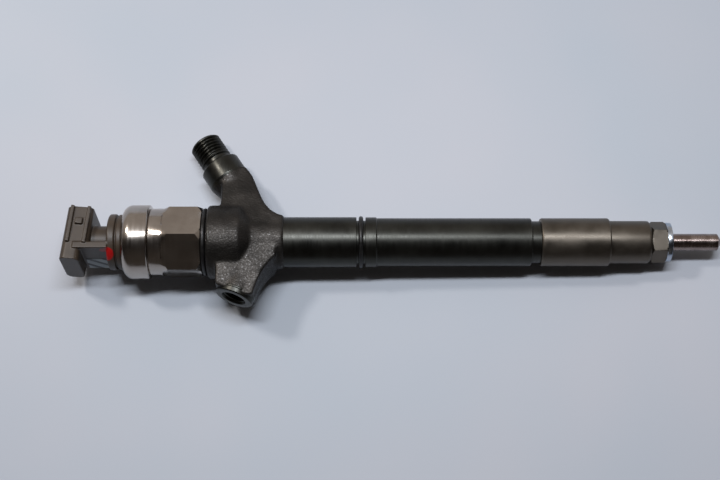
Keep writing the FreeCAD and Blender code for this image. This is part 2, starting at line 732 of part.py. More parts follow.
def injector_body():
    """Forged and turned body: head thread, barrel, inlet stub, return boss, long shank, spigot."""
    body = new_body("injector_body")
    upper = new_sketch(body, "upper_web_outline")
    draw(upper, [
        ("-upper_web_back", "0"),
        ("-upper_web_back", "upper_web_heel"),
        ("-upper_web_flank_back", "upper_web_flank"),
        ("-upper_web_crest_back", "upper_web_crest"),
        ("-upper_web_kink_back", "upper_web_kink"),
        ("-upper_web_fillet_back", "upper_web_fillet"),
        ("-upper_web_toe_back", "upper_web_toe"),
        ("-shank_back - shank_root_step", "upper_web_root"),
        ("-shank_back - shank_root_step", "0")],
        arcs={5: ("upper_web_round", "left")})
    raised(body, "upper_web", upper, "web_root_thick", both_ways=True)
    lower = new_sketch(body, "lower_web_outline")
    draw(lower, [
        ("-web_back", "0"),
        ("-web_back", "-lower_web_heel"),
        ("-lower_web_flank_back", "-lower_web_flank"),
        ("-lower_web_boss_back", "-lower_web_boss"),
        ("-lower_web_corner_back", "-lower_web_corner"),
        ("-lower_web_waist_back", "-lower_web_waist"),
        ("-lower_web_fillet_back", "-lower_web_fillet"),
        ("-lower_web_toe_back", "-lower_web_toe"),
        ("-lower_web_root_back", "0")])
    raised(body, "lower_web", lower, "web_root_thick", both_ways=True)
    taper = new_sketch(body, "web_taper_outline", plane="YZ_Plane", z="-web_back - 1")
    root = "web_root_thick / 2"
    for side in ("", "-"):
        draw_more(taper, [
            ("0", side + root),
            ("web_taper_upper", side + "web_upper_thick / 2"),
            ("web_taper_reach", side + "web_upper_thick / 2"),
            ("web_taper_reach", side + "web_taper_side"),
            ("-web_taper_reach", side + "web_taper_side"),
            ("-web_taper_reach", side + "web_lower_thick / 2"),
            ("-web_taper_lower", side + "web_lower_thick / 2")])
    raised(body, "web_taper", taper, "web_back - shank_back + 2", cut=True)

    turned(body, "body_outside", [
        ("-body_back", "0"),
        ("-body_back", "head_thread_dia / 2 - body_edge"),
        ("-body_back + body_edge", "head_thread_dia / 2"),
        ("-seal_land_back", "head_thread_dia / 2"),
        ("-seal_land_back", "seal_land_dia / 2"),
        ("-barrel_back", "seal_land_dia / 2"),
        ("-barrel_back", "barrel_dia / 2 - barrel_edge"),
        ("-barrel_back + barrel_edge", "barrel_dia / 2"),
        ("-barrel_front", "barrel_dia / 2"),
        ("-root_back", "root_dia / 2"),
        ("-shank_back - shank_root_step", "root_dia / 2"),
        ("-shank_back", "shank_dia / 2"),
        ("-ring_groove_back", "shank_dia / 2"),
        ("-ring_groove_back", "ring_groove_dia / 2"),
        ("-ring_groove_front", "ring_groove_dia / 2"),
        ("-ring_groove_front", "shank_band_dia / 2"),
        ("-shank_band_front - shank_edge", "shank_band_dia / 2"),
        ("-shank_band_front", "shank_front_dia / 2"),
        ("-undercut_back - shank_edge", "shank_front_dia / 2"),
        ("-undercut_back", "shank_front_dia / 2 - shank_edge"),
        ("-undercut_back", "undercut_dia / 2"),
        ("-clamp_nut_back", "undercut_dia / 2"),
        ("-clamp_nut_back", "thread_spigot_dia / 2"),
        ("-spacer_back - spigot_relief", "thread_spigot_dia / 2"),
        ("-spacer_back - spigot_edge", "nozzle_collar_dia / 2"),
        ("-spacer_back", "nozzle_collar_dia / 2"),
        ("-spacer_back", "0")])

    turned(body, "inlet_stub", [
        ("inlet_root", "0"),
        ("inlet_root", "inlet_neck_dia / 2"),
        ("inlet_neck_end", "inlet_neck_dia / 2"),
        ("inlet_boss_start", "inlet_boss_dia / 2"),
        ("inlet_boss_end - inlet_boss_edge", "inlet_boss_dia / 2"),
        ("inlet_boss_end", "inlet_boss_dia / 2 - inlet_boss_edge"),
        ("inlet_boss_end", "inlet_relief_dia / 2"),
        ("inlet_thread_start - inlet_thread_runout", "inlet_relief_dia / 2"),
        ("inlet_thread_start", "inlet_thread_dia / 2"),
        ("inlet_length - inlet_thread_chamfer", "inlet_thread_dia / 2"),
        ("inlet_length", "inlet_thread_dia / 2 - inlet_thread_chamfer"),
        ("inlet_length", "0")],
        x="-inlet_foot", turn="180 - inlet_angle")

    turned(body, "return_boss", [
        ("return_root", "0"),
        ("return_root", "return_boss_dia / 2"),
        ("return_length - return_collar_height", "return_boss_dia / 2"),
        ("return_length - return_collar_height", "return_collar_dia / 2"),
        ("return_length - return_edge", "return_collar_dia / 2"),
        ("return_length", "return_collar_dia / 2 - return_edge"),
        ("return_length", "0")],
        x="-return_foot", turn="return_angle - 180")

    bored(body, "main_bore", [
        ("-body_back", "0"),
        ("-body_back", "chamber_dia / 2"),
        ("-chamber_front", "chamber_dia / 2"),
        ("-chamber_front", "valve_stem_bore / 2"),
        ("-valve_stem_front + valve_edge", "valve_stem_bore / 2"),
        ("-valve_stem_front + valve_edge", "piston_dia / 2 + fit_gap"),
        ("-spring_chamber_back", "piston_dia / 2 + fit_gap"),
        ("-spring_chamber_back", "spring_chamber_dia / 2"),
        ("-spacer_back", "spring_chamber_dia / 2"),
        ("-spacer_back", "0")])

    bored(body, "fuel_inlet", [
        ("inlet_length", "0"),
        ("inlet_length", "inlet_cone_dia / 2"),
        ("inlet_length - inlet_cone_depth", "inlet_bore / 2"),
        ("inlet_bore_start", "inlet_bore / 2"),
        ("inlet_bore_start", "0")],
        x="-inlet_foot", turn="180 - inlet_angle")

    bored(body, "fuel_drilling", [
        ("-fuel_drill_back", "0"), ("-fuel_drill_back", "fuel_drill_dia / 2"),
        ("-spacer_back", "fuel_drill_dia / 2"), ("-spacer_back", "0")],
        y="fuel_drill_offset")

    bored(body, "return_port", [
        ("return_length", "0"),
        ("return_length", "return_hole_mouth / 2"),
        ("return_length - (return_hole_mouth - return_hole_dia) / 2", "return_hole_dia / 2"),
        ("return_length - return_hole_depth", "return_hole_dia / 2"),
        ("return_length - return_hole_depth - return_drill_point", "0")],
        x="-return_foot", turn="return_angle - 180")

    bored(body, "leak_drilling", [
        ("-leak_drill_start", "0"), ("-leak_drill_start", "leak_drill_dia / 2"),
        ("leak_drill_length", "leak_drill_dia / 2"), ("leak_drill_length", "0")],
        x="-return_foot - cos(return_angle) * (return_length - return_hole_depth)",
        y="-sin(return_angle) * (return_length - return_hole_depth)", turn="leak_drill_turn")
    return clocked(body)


def inlet_filter():
    """Edge filter pressed into the inlet bore: a fluted rod."""
    body = new_body("inlet_filter")
    turned(body, "filter_rod", [
        ("filter_front", "0"), ("filter_front", "filter_tip_dia / 2"),
        ("filter_front + filter_taper", "inlet_bore / 2"),
        ("filter_front + filter_tip_land", "inlet_bore / 2"), ("filter_front + filter_tip_land",
                                                               "filter_core_dia / 2"),
        ("filter_back - filter_back_land", "filter_core_dia / 2"), ("filter_back - filter_back_land",
                                                                    "inlet_bore / 2"),
        ("filter_back", "inlet_bore / 2"), ("filter_back", "0")],
        x="-inlet_foot", turn="180 - inlet_angle")
    return clocked(body)


# ---------------------------------------------------------------- control valve

def valve_piece():
    """Valve seat and upper guide of the command piston, with the outlet throttle."""
    body = new_body("valve_piece")
    turned(body, "valve_outside", [
        ("-valve_face", "0"),
        ("-valve_face", "valve_flange_dia / 2 - valve_edge"),
        ("-valve_face + valve_edge", "valve_flange_dia / 2"),
        ("-chamber_front", "valve_flange_dia / 2"),
        ("-chamber_front", "valve_stem_dia / 2"),
        ("-valve_stem_front - valve_edge", "valve_stem_dia / 2"),
        ("-valve_stem_front", "valve_stem_dia / 2 - valve_edge"),
        ("-valve_stem_front", "0")])
    bored(body, "valve_inside", [
        ("-valve_face", "0"),
        ("-valve_face", "valve_seat_radius"),
        ("-valve_face + valve_seat_depth", "throttle_dia / 2"),
        ("-control_room_back", "throttle_dia / 2"),
        ("-control_room_back", "piston_dia / 2 + fit_gap"),
        ("-valve_stem_front", "piston_dia / 2 + fit_gap"),
        ("-valve_stem_front", "0")])
    bored(body, "inlet_throttle", [
        ("0", "0"), ("0", "inlet_throttle_dia / 2"),
        ("inlet_throttle_length", "inlet_throttle_dia / 2"), ("inlet_throttle_length", "0")],
        x="-control_room_back + inlet_throttle_offset", turn="inlet_throttle_turn")
    return clocked(body)


def valve_clamp_ring():
    """Threaded ring that holds the valve piece down, notched for the spanner and for leak fuel."""
    body = new_body("valve_clamp_ring")
    turned(body, "clamp_ring_turned", [
        ("-clamp_ring_back", "guide_dia / 2 + clamp_ring_gap"),
        ("-clamp_ring_back", "clamp_ring_dia / 2 - clamp_ring_edge"),
        ("-clamp_ring_back + clamp_ring_edge", "clamp_ring_dia / 2"),
        ("-valve_face", "clamp_ring_dia / 2"),
        ("-valve_face", "guide_dia / 2 + clamp_ring_gap")])
    sketch = new_sketch(body, "spanner_notch_outline", plane="YZ_Plane", z="-clamp_ring_back - 1")
    draw(sketch, [("notch_inner", "-notch_half_width"), ("notch_outer", "-notch_half_width"),
                  ("notch_outer", "notch_half_width"), ("notch_inner", "notch_half_width")])
    notch = raised(body, "spanner_notch", sketch, "clamp_ring_back - valve_face + 2", cut=True)
    ringed(body, notch, 4)
    return clocked(body)


def armature_guide():
    return ring("armature_guide", [
        ("-guide_back", "armature_stem_dia / 2 + fit_gap"),
        ("-guide_back", "guide_dia / 2"),
        ("-guide_front", "guide_dia / 2"),
        ("-guide_front", "armature_stem_dia / 2 + fit_gap")])


def armature():
    """Flat slotted plate on a guided stem, drawn back by the magnet."""
    body = new_body("armature")
    turned(body, "armature_turned", [
        ("-armature_back", "0"),
        ("-armature_back", "armature_dia / 2"),
        ("-armature_front", "armature_dia / 2"),
        ("-armature_front", "armature_stem_dia / 2"),
        ("-ball_cup_back", "armature_stem_dia / 2"),
        ("-ball_cup_back", "0")])
    sketch = new_sketch(body, "armature_slot_outline", plane="YZ_Plane", z="-armature_back - 1")
    draw(sketch, [("armature_slot_inner", "-armature_slot_half_width"),
                  ("armature_slot_outer", "-armature_slot_half_width"),
                  ("armature_slot_outer", "armature_slot_half_width"),
                  ("armature_slot_inner", "armature_slot_half_width")])
    slot = raised(body, "armature_slot", sketch, "armature_back - armature_front + 1.5", cut=True)
    ringed(body, slot, 3)
    return clocked(body)


def ball_cup():
    return ring("ball_cup", [
        ("-ball_cup_back", "0"),
        ("-ball_cup_back", "armature_stem_dia / 2 - 0.05"),
        ("-ball_cup_front", "armature_stem_dia / 2 - 0.3"),
        ("-ball_cup_front", "ball_dia / 2 + 0.03"),
        ("-ball_centre - ball_dia / 2 - 0.01", "ball_dia / 2 + 0.03"),
        ("-ball_centre - ball_dia / 2 - 0.01", "0")])


def valve_ball():
    ball = doc.addObject("Part::Sphere", "valve_ball")
    ball.Label = "valve_ball"
    bind(ball, "Radius", "ball_dia / 2")
    bind(ball, "Placement.Base.x", "-ball_centre")
    pieces.append(ball)


# ---------------------------------------------------------------- solenoid

def solenoid():
    """Magnet pot, its coil on a bobbin, and the spring that holds the valve shut."""
    ring("air_gap_shim", [
        ("-gap_shim_back", "housing_bore / 2"),
        ("-gap_shim_back", "sleeve_shoulder_dia / 2"),
        ("-body_back", "sleeve_shoulder_dia / 2"),
        ("-body_back", "housing_bore / 2")])

    core = new_body("solenoid_core")
    turned(core, "core_outside", [
        ("-core_back", "core_bore / 2"), ("-core_back", "core_dia / 2"),
        ("-core_front", "core_dia / 2"), ("-core_front", "core_bore / 2")])
    bored(core, "coil_slot", [
        ("-coil_slot_back", "coil_slot_inner / 2"), ("-coil_slot_back", "coil_slot_outer / 2"),
        ("-core_front", "coil_slot_outer / 2"), ("-core_front", "coil_slot_inner / 2")])
    leads = new_sketch(core, "lead_hole_outline", plane="YZ_Plane", z="-core_back - 1")
    for side in ("", "-"):
        circle_at(leads, "-blade_depth", side + "blade_spacing / 2", "lead_hole_dia")
    raised(core, "lead_holes", leads, "core_back - coil_slot_back + 1.5", cut=True)
    clocked(core)

    ring("coil_bobbin", [
        ("-bobbin_back", "bobbin_inner / 2"),
        ("-bobbin_back", "bobbin_outer / 2"),
        ("-bobbin_back + bobbin_wall", "bobbin_outer / 2"),
        ("-bobbin_back + bobbin_wall", "bobbin_hub / 2"),
        ("-bobbin_front - bobbin_wall", "bobbin_hub / 2"),
        ("-bobbin_front - bobbin_wall", "bobbin_outer / 2"),
        ("-bobbin_front", "bobbin_outer / 2"),
        ("-bobbin_front", "bobbin_inner / 2")])
    ring("coil_winding", [
        ("-bobbin_back + bobbin_wall", "bobbin_hub / 2"),
        ("-bobbin_back + bobbin_wall", "winding_outer / 2"),
        ("-bobbin_front - bobbin_wall", "winding_outer / 2"),
        ("-bobbin_front - bobbin_wall", "bobbin_hub / 2")])
    ring("valve_spring_plug", [
        ("-spring_plug_back", "0"),
        ("-spring_plug_back", "core_bore / 2"),
        ("-valve_spring_back", "core_bore / 2"),
        ("-valve_spring_back", "0")])
    coil_spring("valve_spring", "valve_spring_back", "valve_spring_front", "valve_spring_dia",
                "valve_spring_wire", "valve_spring_pitch")

    ring("solenoid_housing", [
        ("-housing_back", "housing_bore / 2"),
        ("-housing_back", "housing_dia / 2 - housing_round"),
        ("-housing_back + housing_round", "housing_dia / 2"),
        ("-cap_nut_back - housing_edge", "housing_dia / 2"),
        ("-cap_nut_back", "housing_dia / 2 - housing_edge"),
        ("-cap_nut_back", "sleeve_dia / 2"),
        ("-sleeve_shoulder_back", "sleeve_dia / 2"),
        ("-sleeve_shoulder_back", "sleeve_shoulder_dia / 2"),
        ("-gap_shim_back", "sleeve_shoulder_dia / 2"),
        ("-gap_shim_back", "housing_bore / 2")],
        arcs={1: ("housing_round", "right")})

    nut = new_body("solenoid_retaining_nut")
    turned(nut, "cap_nut_turned", [
        ("-cap_nut_back", "cap_nut_lip / 2"),
        ("-cap_nut_back", "cap_nut_collar_dia / 2 - housing_edge"),
        ("-cap_nut_back + housing_edge", "cap_nut_collar_dia / 2"),
        ("-cap_nut_collar_front", "cap_nut_collar_dia / 2"),
        ("-cap_nut_collar_front + cap_nut_collar_slope", "cap_nut_flats / sqrt(3)"),
        ("-seal_land_back - cap_nut_nose_slope", "cap_nut_flats / sqrt(3)"),
        ("-seal_land_back", "cap_nut_flats / sqrt(3) - cap_nut_nose_edge"),
        ("-seal_land_back", "cap_nut_bore / 2"),
        ("-sleeve_shoulder_back - cap_nut_floor_gap", "cap_nut_bore / 2"),
        ("-sleeve_shoulder_back - cap_nut_floor_gap", "cap_nut_lip / 2")])
    hexagonal(nut, "cap_nut_hexagon", "cap_nut_collar_front", "cap_nut_collar_front - seal_land_back",
              "cap_nut_flats", "cap_nut_turn")
    clocked(nut)


# ---------------------------------------------------------------- electrical connector

def terminal_blades():
    """Two L-shaped blades: one leg back from the coil, the other standing in the connector."""
    blades = []
    for side, sign in (("upper", ""), ("lower", "-")):
        lead = doc.addObject("Part::Box", side + "_lead")
        bind(lead, "Length", "shroud_centre - bobbin_back + blade_thick")
        bind(lead, "Width", "blade_thick")
        bind(lead, "Height", "blade_width")
        bind(lead, "Placement.Base.x", "-shroud_centre - blade_thick")
        bind(lead, "Placement.Base.y", "-blade_depth - blade_thick / 2")
        bind(lead, "Placement.Base.z", sign + "blade_spacing / 2 - blade_width / 2")
        blade = doc.addObject("Part::Box", side + "_blade_leg")
        blade.Placement.Rotation = FreeCAD.Rotation(FreeCAD.Vector(0, 0, 1), -1)
        bind(blade, "Placement.Rotation.Angle", "-shroud_slant")
        bind(blade, "Length", "blade_thick")
        bind(blade, "Width", "blade_depth + blade_tip")
        bind(blade, "Height", "blade_width")
        bind(blade, "Placement.Base.x", "-shroud_centre - blade_thick")
        bind(blade, "Placement.Base.y", "-blade_depth - blade_thick / 2")
        bind(blade, "Placement.Base.z", sign + "blade_spacing / 2 - blade_width / 2")
        joined = doc.addObject("Part::Fuse", side + "_blade")
        joined.Base = lead
        joined.Tool = blade
        blades.append(joined)
    pair = doc.addObject("Part::Compound", "blade_pair")
    pair.Links = blades
    return pair


def connector_moulding():
    """Moulded base, short post, side arm and the slanted shroud that takes the plug."""
    body = new_body("connector_moulding")
    turned(body, "base_turned", [
        ("-post_back", "0"),
        ("-post_back", "post_dia / 2"),
        ("-base_disc_back", "post_dia / 2"),
        ("-base_disc_back", "base_disc_dia / 2 - base_disc_round"),
        ("-base_disc_back + base_disc_round", "base_disc_dia / 2"),
        ("-base_groove_back - base_groove_edge", "base_disc_dia / 2"),
        ("-base_groove_back", "base_disc_dia / 2 - base_groove_edge"),
        ("-base_groove_back", "base_groove_dia / 2"),
        ("-base_ring_back", "base_groove_dia / 2"),
        ("-base_ring_back", "base_ring_dia / 2"),
        ("-housing_back", "base_ring_dia / 2"),
        ("-housing_back", "plug_dia / 2"),
        ("-plug_ring_back", "plug_dia / 2"),
        ("-plug_ring_back", "plug_ring_groove / 2"),
        ("-plug_ring_front", "plug_ring_groove / 2"),
        ("-plug_ring_front", "plug_dia / 2"),
        ("-plug_front", "plug_dia / 2"),
        ("-plug_front", "0")],
        arcs={3: ("base_disc_round", "right")})

    arm = new_sketch(body, "arm_outline")
    draw(arm, [("-shroud_centre - arm_overrun", "-arm_low"), ("-base_disc_back + arm_base_overlap",
                                                              "-arm_low"),
               ("-base_disc_back + arm_base_overlap", "-arm_high"), ("-shroud_centre - arm_overrun",
                                                                     "-arm_high")])
    raised(body, "side_arm", arm, "arm_width", both_ways=True)

    mouth = {"plane": "XZ_Plane", "turn": "-shroud_slant", "about": (0, 1, 0),
             "x": "-shroud_centre + tan(shroud_slant) * shroud_mouth", "z": "-shroud_mouth"}
    shroud = new_sketch(body, "shroud_outline", **mouth)
    rounded_rectangle(shroud, "shroud_depth", "shroud_width", "shroud_corner", "shroud_key_corner")
    raised(body, "shroud", shroud, "(shroud_mouth + arm_high) / cos(shroud_slant) + 0.5")
    foot_place = dict(mouth, x=mouth["x"] + " - foot_offset")
    foot = new_sketch(body, "foot_outline", **foot_place)
    rounded_rectangle(foot, "foot_depth", "shroud_width", "foot_corner", "foot_key_corner")
    raised(body, "foot", foot, "(shroud_mouth + shroud_foot) / cos(shroud_slant)")
    face = {"turn": "-shroud_slant", "x": "-shroud_centre + tan(shroud_slant) * shroud_mouth",
            "y": "shroud_mouth", "z": "shroud_width / 2 - rib_root"}
    ribs = new_sketch(body, "rib_outline", **face)
    length = "-(shroud_mouth + rib_foot)"
    for middle in ("-rib_offset", "rib_offset"):
        inner = "%s - rib_width / 2" % middle
        outer = "%s + rib_width / 2" % middle
        draw_more(ribs, [(inner, "0"), (inner, length), (outer, length), (outer, "0")])
    raised(body, "guide_ribs", ribs, "rib_height + rib_root")

    latch = new_sketch(body, "latch_outline", **face)
    top = "latch_place + latch_rise / 2 - shroud_mouth"
    foot = "latch_place - latch_rise / 2 - shroud_mouth"
    draw(latch, [("-latch_length / 2", foot), ("latch_length / 2", foot),
                 ("latch_length / 2", top), ("-latch_length / 2", top)])
    raised(body, "latch_nub", latch, "latch_height + rib_root")

    socket = new_sketch(body, "socket_outline", **mouth)
    rounded_rectangle(socket, "shroud_depth - 2 * shroud_wall", "shroud_width - 2 * shroud_wall",
                      "shroud_corner - shroud_wall", "shroud_key_corner - shroud_wall")
    raised(body, "socket", socket, "(shroud_mouth + cavity_floor) / cos(shroud_slant)", cut=True)
    return body


def draw_more(sketch, outline):
    """A second or later closed outline in a sketch that holds one already."""
    count = sketch.GeometryCount
    corners = [FreeCAD.Vector(number(x), number(y), 0) for x, y in outline]
    for index, corner in enumerate(corners):
        sketch.addGeometry(Part.LineSegment(corner, corners[(index + 1) % len(corners)]), False)
    for index, (x, y) in enumerate(outline):
        after = count + (index + 1) % len(outline)
        sketch.addConstraint(Sketcher.Constraint("Coincident", count + index, 2, after, 1))
        pin_point(sketch, count + index, 1, x, y)


def rounded_rectangle(sketch, width, height, low_corner, high_corner):
    """A rectangle about the sketch's origin, with round corners of one radius below, one above."""
    half, tall = "(%s) / 2" % width, "(%s) / 2" % height
    low, high = "(%s)" % low_corner, "(%s)" % high_corner
    draw(sketch, [
        ("-%s + %s" % (half, low), "-" + tall), ("%s - %s" % (half, low), "-" + tall),
        (half, "-%s + %s" % (tall, low)), (half, "%s - %s" % (tall, high)),
        ("%s - %s" % (half, high), tall), ("-%s + %s" % (half, high), tall),
        ("-" + half, "%s - %s" % (tall, high)), ("-" + half, "-%s + %s" % (tall, low))],
        arcs={1: (low, "left"), 3: (high, "left"), 5: (high, "left"), 7: (low, "left")})


def connector():
    pair = terminal_blades()
    moulding = connector_moulding()
    doc.recompute()
    housing = doc.addObject("Part::Cut", "connector_housing")
    housing.Label = "connector_housing"
    housing.Base = moulding
    housing.Tool = pair
    clocked(housing)
    blades = doc.addObject("Part::Compound", "terminal_blades")
    blades.Label = "terminal_blades"
    blades.Links = [pair]
    clocked(blades)
    sheet = doc.addObject("Part::Box", "label_sheet")
    bind(sheet, "Length", "label_length")
    bind(sheet, "Width", "label_thick")
    bind(sheet, "Height", "label_width")
    bind(sheet, "Placement.Base.x", "-base_disc_back - label_length - label_gap")
    bind(sheet, "Placement.Base.y", "-arm_low - label_thick")
    bind(sheet, "Placement.Base.z", "-arm_width / 2")
    label = doc.addObject("Part::Compound", "identity_label")
    label.Label = "identity_label"
    label.Links = [sheet]
    clocked(label)
    o_ring("connector_o_ring", "(plug_ring_back + plug_ring_front) / 2",
           "(plug_ring_groove + plug_ring_section + plug_ring_stretch)",
           "plug_ring_section")


# ---------------------------------------------------------------- assembly

nozzle_body()
nozzle_needle()
sealing_washer()
nozzle_nut()
distance_piece()
dowel_pins()
pressure_pin()
coil_spring("nozzle_spring", "spring_shim_front", "nozzle_spring_front", "nozzle_spring_dia",
            "nozzle_spring_wire", "nozzle_spring_pitch")
spring_shim()
command_piston()
injector_body()
inlet_filter()
o_ring("body_o_ring", "(ring_groove_back + ring_groove_front) / 2", "body_ring_mean_dia",
       "body_ring_section")
o_ring("head_o_ring", "head_ring_station", "head_ring_mean_dia", "head_ring_section")
valve_piece()
valve_clamp_ring()
armature_guide()
armature()
ball_cup()
valve_ball()
solenoid()
connector()
doc.recompute()

for thing in doc.Objects:
    if "Invalid" in thing.State or "Error" in thing.State:
        raise RuntimeError("%s is %s" % (thing.Name, thing.State))
os.makedirs("parts", exist_ok=True)
for piece in pieces:
    if piece.Shape.isNull() or not piece.Shape.isValid():
        raise RuntimeError("%s has no valid shape" % piece.Label)
    piece.Shape.exportStep("parts/%s.step" % piece.Label)
    print("%-24s %9.1f mm3  %d solid(s)" % (piece.Label, piece.Shape.Volume, len(piece.Shape.Solids)))
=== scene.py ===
# Common-rail fuel injector lying on a pale bench. Lengths are millimetres until a mesh is made.
# x runs along the injector to the spray tip, p points to the fuel inlet and q is square to both.
import math

import bmesh
import bpy
from mathutils import Matrix, Vector, noise


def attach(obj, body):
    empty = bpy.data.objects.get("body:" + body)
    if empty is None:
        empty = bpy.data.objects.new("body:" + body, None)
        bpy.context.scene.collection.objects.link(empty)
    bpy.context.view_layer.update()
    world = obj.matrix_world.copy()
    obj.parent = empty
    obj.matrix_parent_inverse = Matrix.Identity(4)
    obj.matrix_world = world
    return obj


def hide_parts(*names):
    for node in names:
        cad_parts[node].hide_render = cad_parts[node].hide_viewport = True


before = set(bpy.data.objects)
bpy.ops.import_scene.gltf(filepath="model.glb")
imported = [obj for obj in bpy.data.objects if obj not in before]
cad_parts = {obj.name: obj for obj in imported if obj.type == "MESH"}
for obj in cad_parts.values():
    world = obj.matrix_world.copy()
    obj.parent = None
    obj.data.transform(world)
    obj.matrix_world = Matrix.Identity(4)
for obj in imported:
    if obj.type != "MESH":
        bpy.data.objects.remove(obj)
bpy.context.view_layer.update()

# ---------------------------------------------------------------------------------------------
# Injector body, forged part: barrel, root of the shank, two webs and the necks of the fittings.
# Drop-forged alloy steel, shot-blasted and blackened; the skin stays rough where no tool cut it.
MM = 0.001
CLOCK = math.radians(12.0)


def linear(code):
    """sRGB hex to a linear RGBA colour."""
    parts = [int(code[i:i + 2], 16) / 255 for i in (1, 3, 5)]
    return tuple(c / 12.92 if c <= 0.04045 else ((c + 0.055) / 1.055) ** 2.4 for c in parts) + (1.0,)


def to_frame(x=0.0, p=0.0, turn=0.0):
    """Matrix from a piece's own axis and millimetres to the injector's frame and metres."""
    a = math.radians(turn)
    piece = Matrix(((math.cos(a), -math.sin(a), 0, x), (math.sin(a), math.cos(a), 0, p),
                    (0, 0, 1, 0), (0, 0, 0, 1)))
    clock = Matrix(((1, 0, 0, 0), (0, math.cos(CLOCK), math.sin(CLOCK), 0),
                    (0, -math.sin(CLOCK), math.cos(CLOCK), 0), (0, 0, 0, 1)))
    return Matrix.Scale(MM, 4) @ clock @ piece


def eased(outline, radius=0.15):
    """The outline with each corner off its axis rounded by up to the radius."""
    out = []
    for i, (x, r) in enumerate(outline):
        here = Vector((x, r))
        before, after = Vector(outline[i - 1]), Vector(outline[(i + 1) % len(outline)])
        back, on = before - here, after - here
        turn = math.pi - back.angle(on, 0.0)
        if r < 1e-6 or turn < 0.05 or radius <= 0:
            out.append((x, r))
            continue
        cut = min(radius * math.tan(turn / 2), back.length * 0.45, on.length * 0.45)
        a, b = here + back.normalized() * cut, here + on.normalized() * cut
        count = max(2, round(turn / 0.4))
        for k in range(count + 1):
            t = k / count
            out.append(tuple(a * (1 - t) ** 2 + here * 2 * t * (1 - t) + b * t * t))
    return out


def turned(outline, place, steps=144, radius=0.15):
    """A closed outline of (station, radius) spun about the piece's axis."""
    rows = eased(outline, radius)
    mesh = bmesh.new()
    rings = []
    for x, r in rows:
        if r < 1e-6:
            rings.append([mesh.verts.new(place @ Vector((x, 0, 0)))] * steps)
            continue
        rings.append([mesh.verts.new(place @ Vector((x, r * math.cos(t), r * math.sin(t))))
                      for t in (2 * math.pi * k / steps for k in range(steps))])
    for a, b in zip(rings, rings[1:] + rings[:1]):
        for k in range(steps):
            corners = []
            for v in (a[k], a[(k + 1) % steps], b[(k + 1) % steps], b[k]):
                if v not in corners:
                    corners.append(v)
            if len(corners) > 2:
                mesh.faces.new(corners)
    bmesh.ops.recalc_face_normals(mesh, faces=mesh.faces)
    return mesh


def finished(name, mesh, material, crease=35, node=None, body="body"):
    """Makes an object of a bmesh, shades it smooth up to the crease angle and rides it."""
    data = bpy.data.meshes.new(name)
    mesh.to_mesh(data)
    mesh.free()
    data.materials.append(material)
    for face in data.polygons:
        face.use_smooth = True
    data.set_sharp_from_angle(angle=math.radians(crease))
    piece = bpy.data.objects.new(name, data)
    bpy.context.scene.collection.objects.link(piece)
    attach(piece, body)
    if node:
        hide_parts(node)
    return piece


def add_node(tree, kind, links=None, **settings):
    """One node, with its settings and with values or links for its inputs."""
    made = tree.nodes.new(kind)
    for key, value in settings.items():
        setattr(made, key, value)
    for key, value in (links or {}).items():
        if isinstance(value, bpy.types.NodeSocket):
            tree.links.new(value, made.inputs[key])
        else:
            made.inputs[key].default_value = value
    return made


def new_material(name, base, metallic, roughness, **shader):
    """A principled material; returns it with its tree, shader and object coordinates."""
    made = bpy.data.materials.new(name)
    made.use_nodes = True
    tree = made.node_tree
    bsdf = tree.nodes["Principled BSDF"]
    bsdf.inputs["Base Color"].default_value = linear(base)
    bsdf.inputs["Metallic"].default_value = metallic
    bsdf.inputs["Roughness"].default_value = roughness
    for key, value in shader.items():
        bsdf.inputs[key.replace("_", " ")].default_value = value
    place = add_node(tree, "ShaderNodeTexCoord").outputs["Object"]
    return made, tree, bsdf, place


def per_mm(size):
    """Noise scale whose features are about the given size in millimetres."""
    return 1.0 / (size * MM)


def blend_colours(tree, factor, low, high, start=0.3, end=0.7):
    """A ramp from one colour to another over a span of the factor."""
    ramp = add_node(tree, "ShaderNodeValToRGB", {"Fac": factor})
    ramp.color_ramp.elements[0].position = start
    ramp.color_ramp.elements[0].color = linear(low)
    ramp.color_ramp.elements[1].position = end
    ramp.color_ramp.elements[1].color = linear(high)
    return ramp.outputs["Color"]


def spread(tree, factor, low, high, start=0.3, end=0.7):
    """A number that runs from low to high over a span of the factor."""
    return add_node(tree, "ShaderNodeMapRange", {
        "Value": factor, "From Min": start, "From Max": end, "To Min": low, "To Max": high},
        clamp=True).outputs["Result"]


# Blackened forging: near-black oxide, with the tips of the blasted grain painted lighter grey as painted glints.
forged_black, tree, bsdf, place = new_material("forged_black_oxide", "#37322d", 0.85, 0.45)
patches = add_node(tree, "ShaderNodeTexNoise", {"Vector": place, "Scale": per_mm(9.0), "Detail": 3.0})
grain = add_node(tree, "ShaderNodeTexNoise", {"Vector": place, "Scale": per_mm(0.7), "Detail": 3.0})
skin = blend_colours(tree, patches.outputs["Fac"], "#2e2c2a", "#413e3b", 0.35, 0.68)
# painted glints: the grain tips get a lighter grey base colour
painted_glint_tips = spread(tree, grain.outputs["Fac"], 0.0, 0.6, 0.62, 0.8)
colour = add_node(tree, "ShaderNodeMix", {"Factor": painted_glint_tips, "A": skin, "B": linear("#6c6b6b")}, data_type="RGBA")
tree.links.new(colour.outputs["Result"], bsdf.inputs["Base Color"])
tree.links.new(spread(tree, grain.outputs["Fac"], 0.58, 0.34, 0.35, 0.7), bsdf.inputs["Roughness"])
bump = add_node(tree, "ShaderNodeBump", {"Height": grain.outputs["Fac"], "Strength": 0.35,
                                         "Distance": 0.08 * MM})
tree.links.new(bump.outputs["Normal"], bsdf.inputs["Normal"])


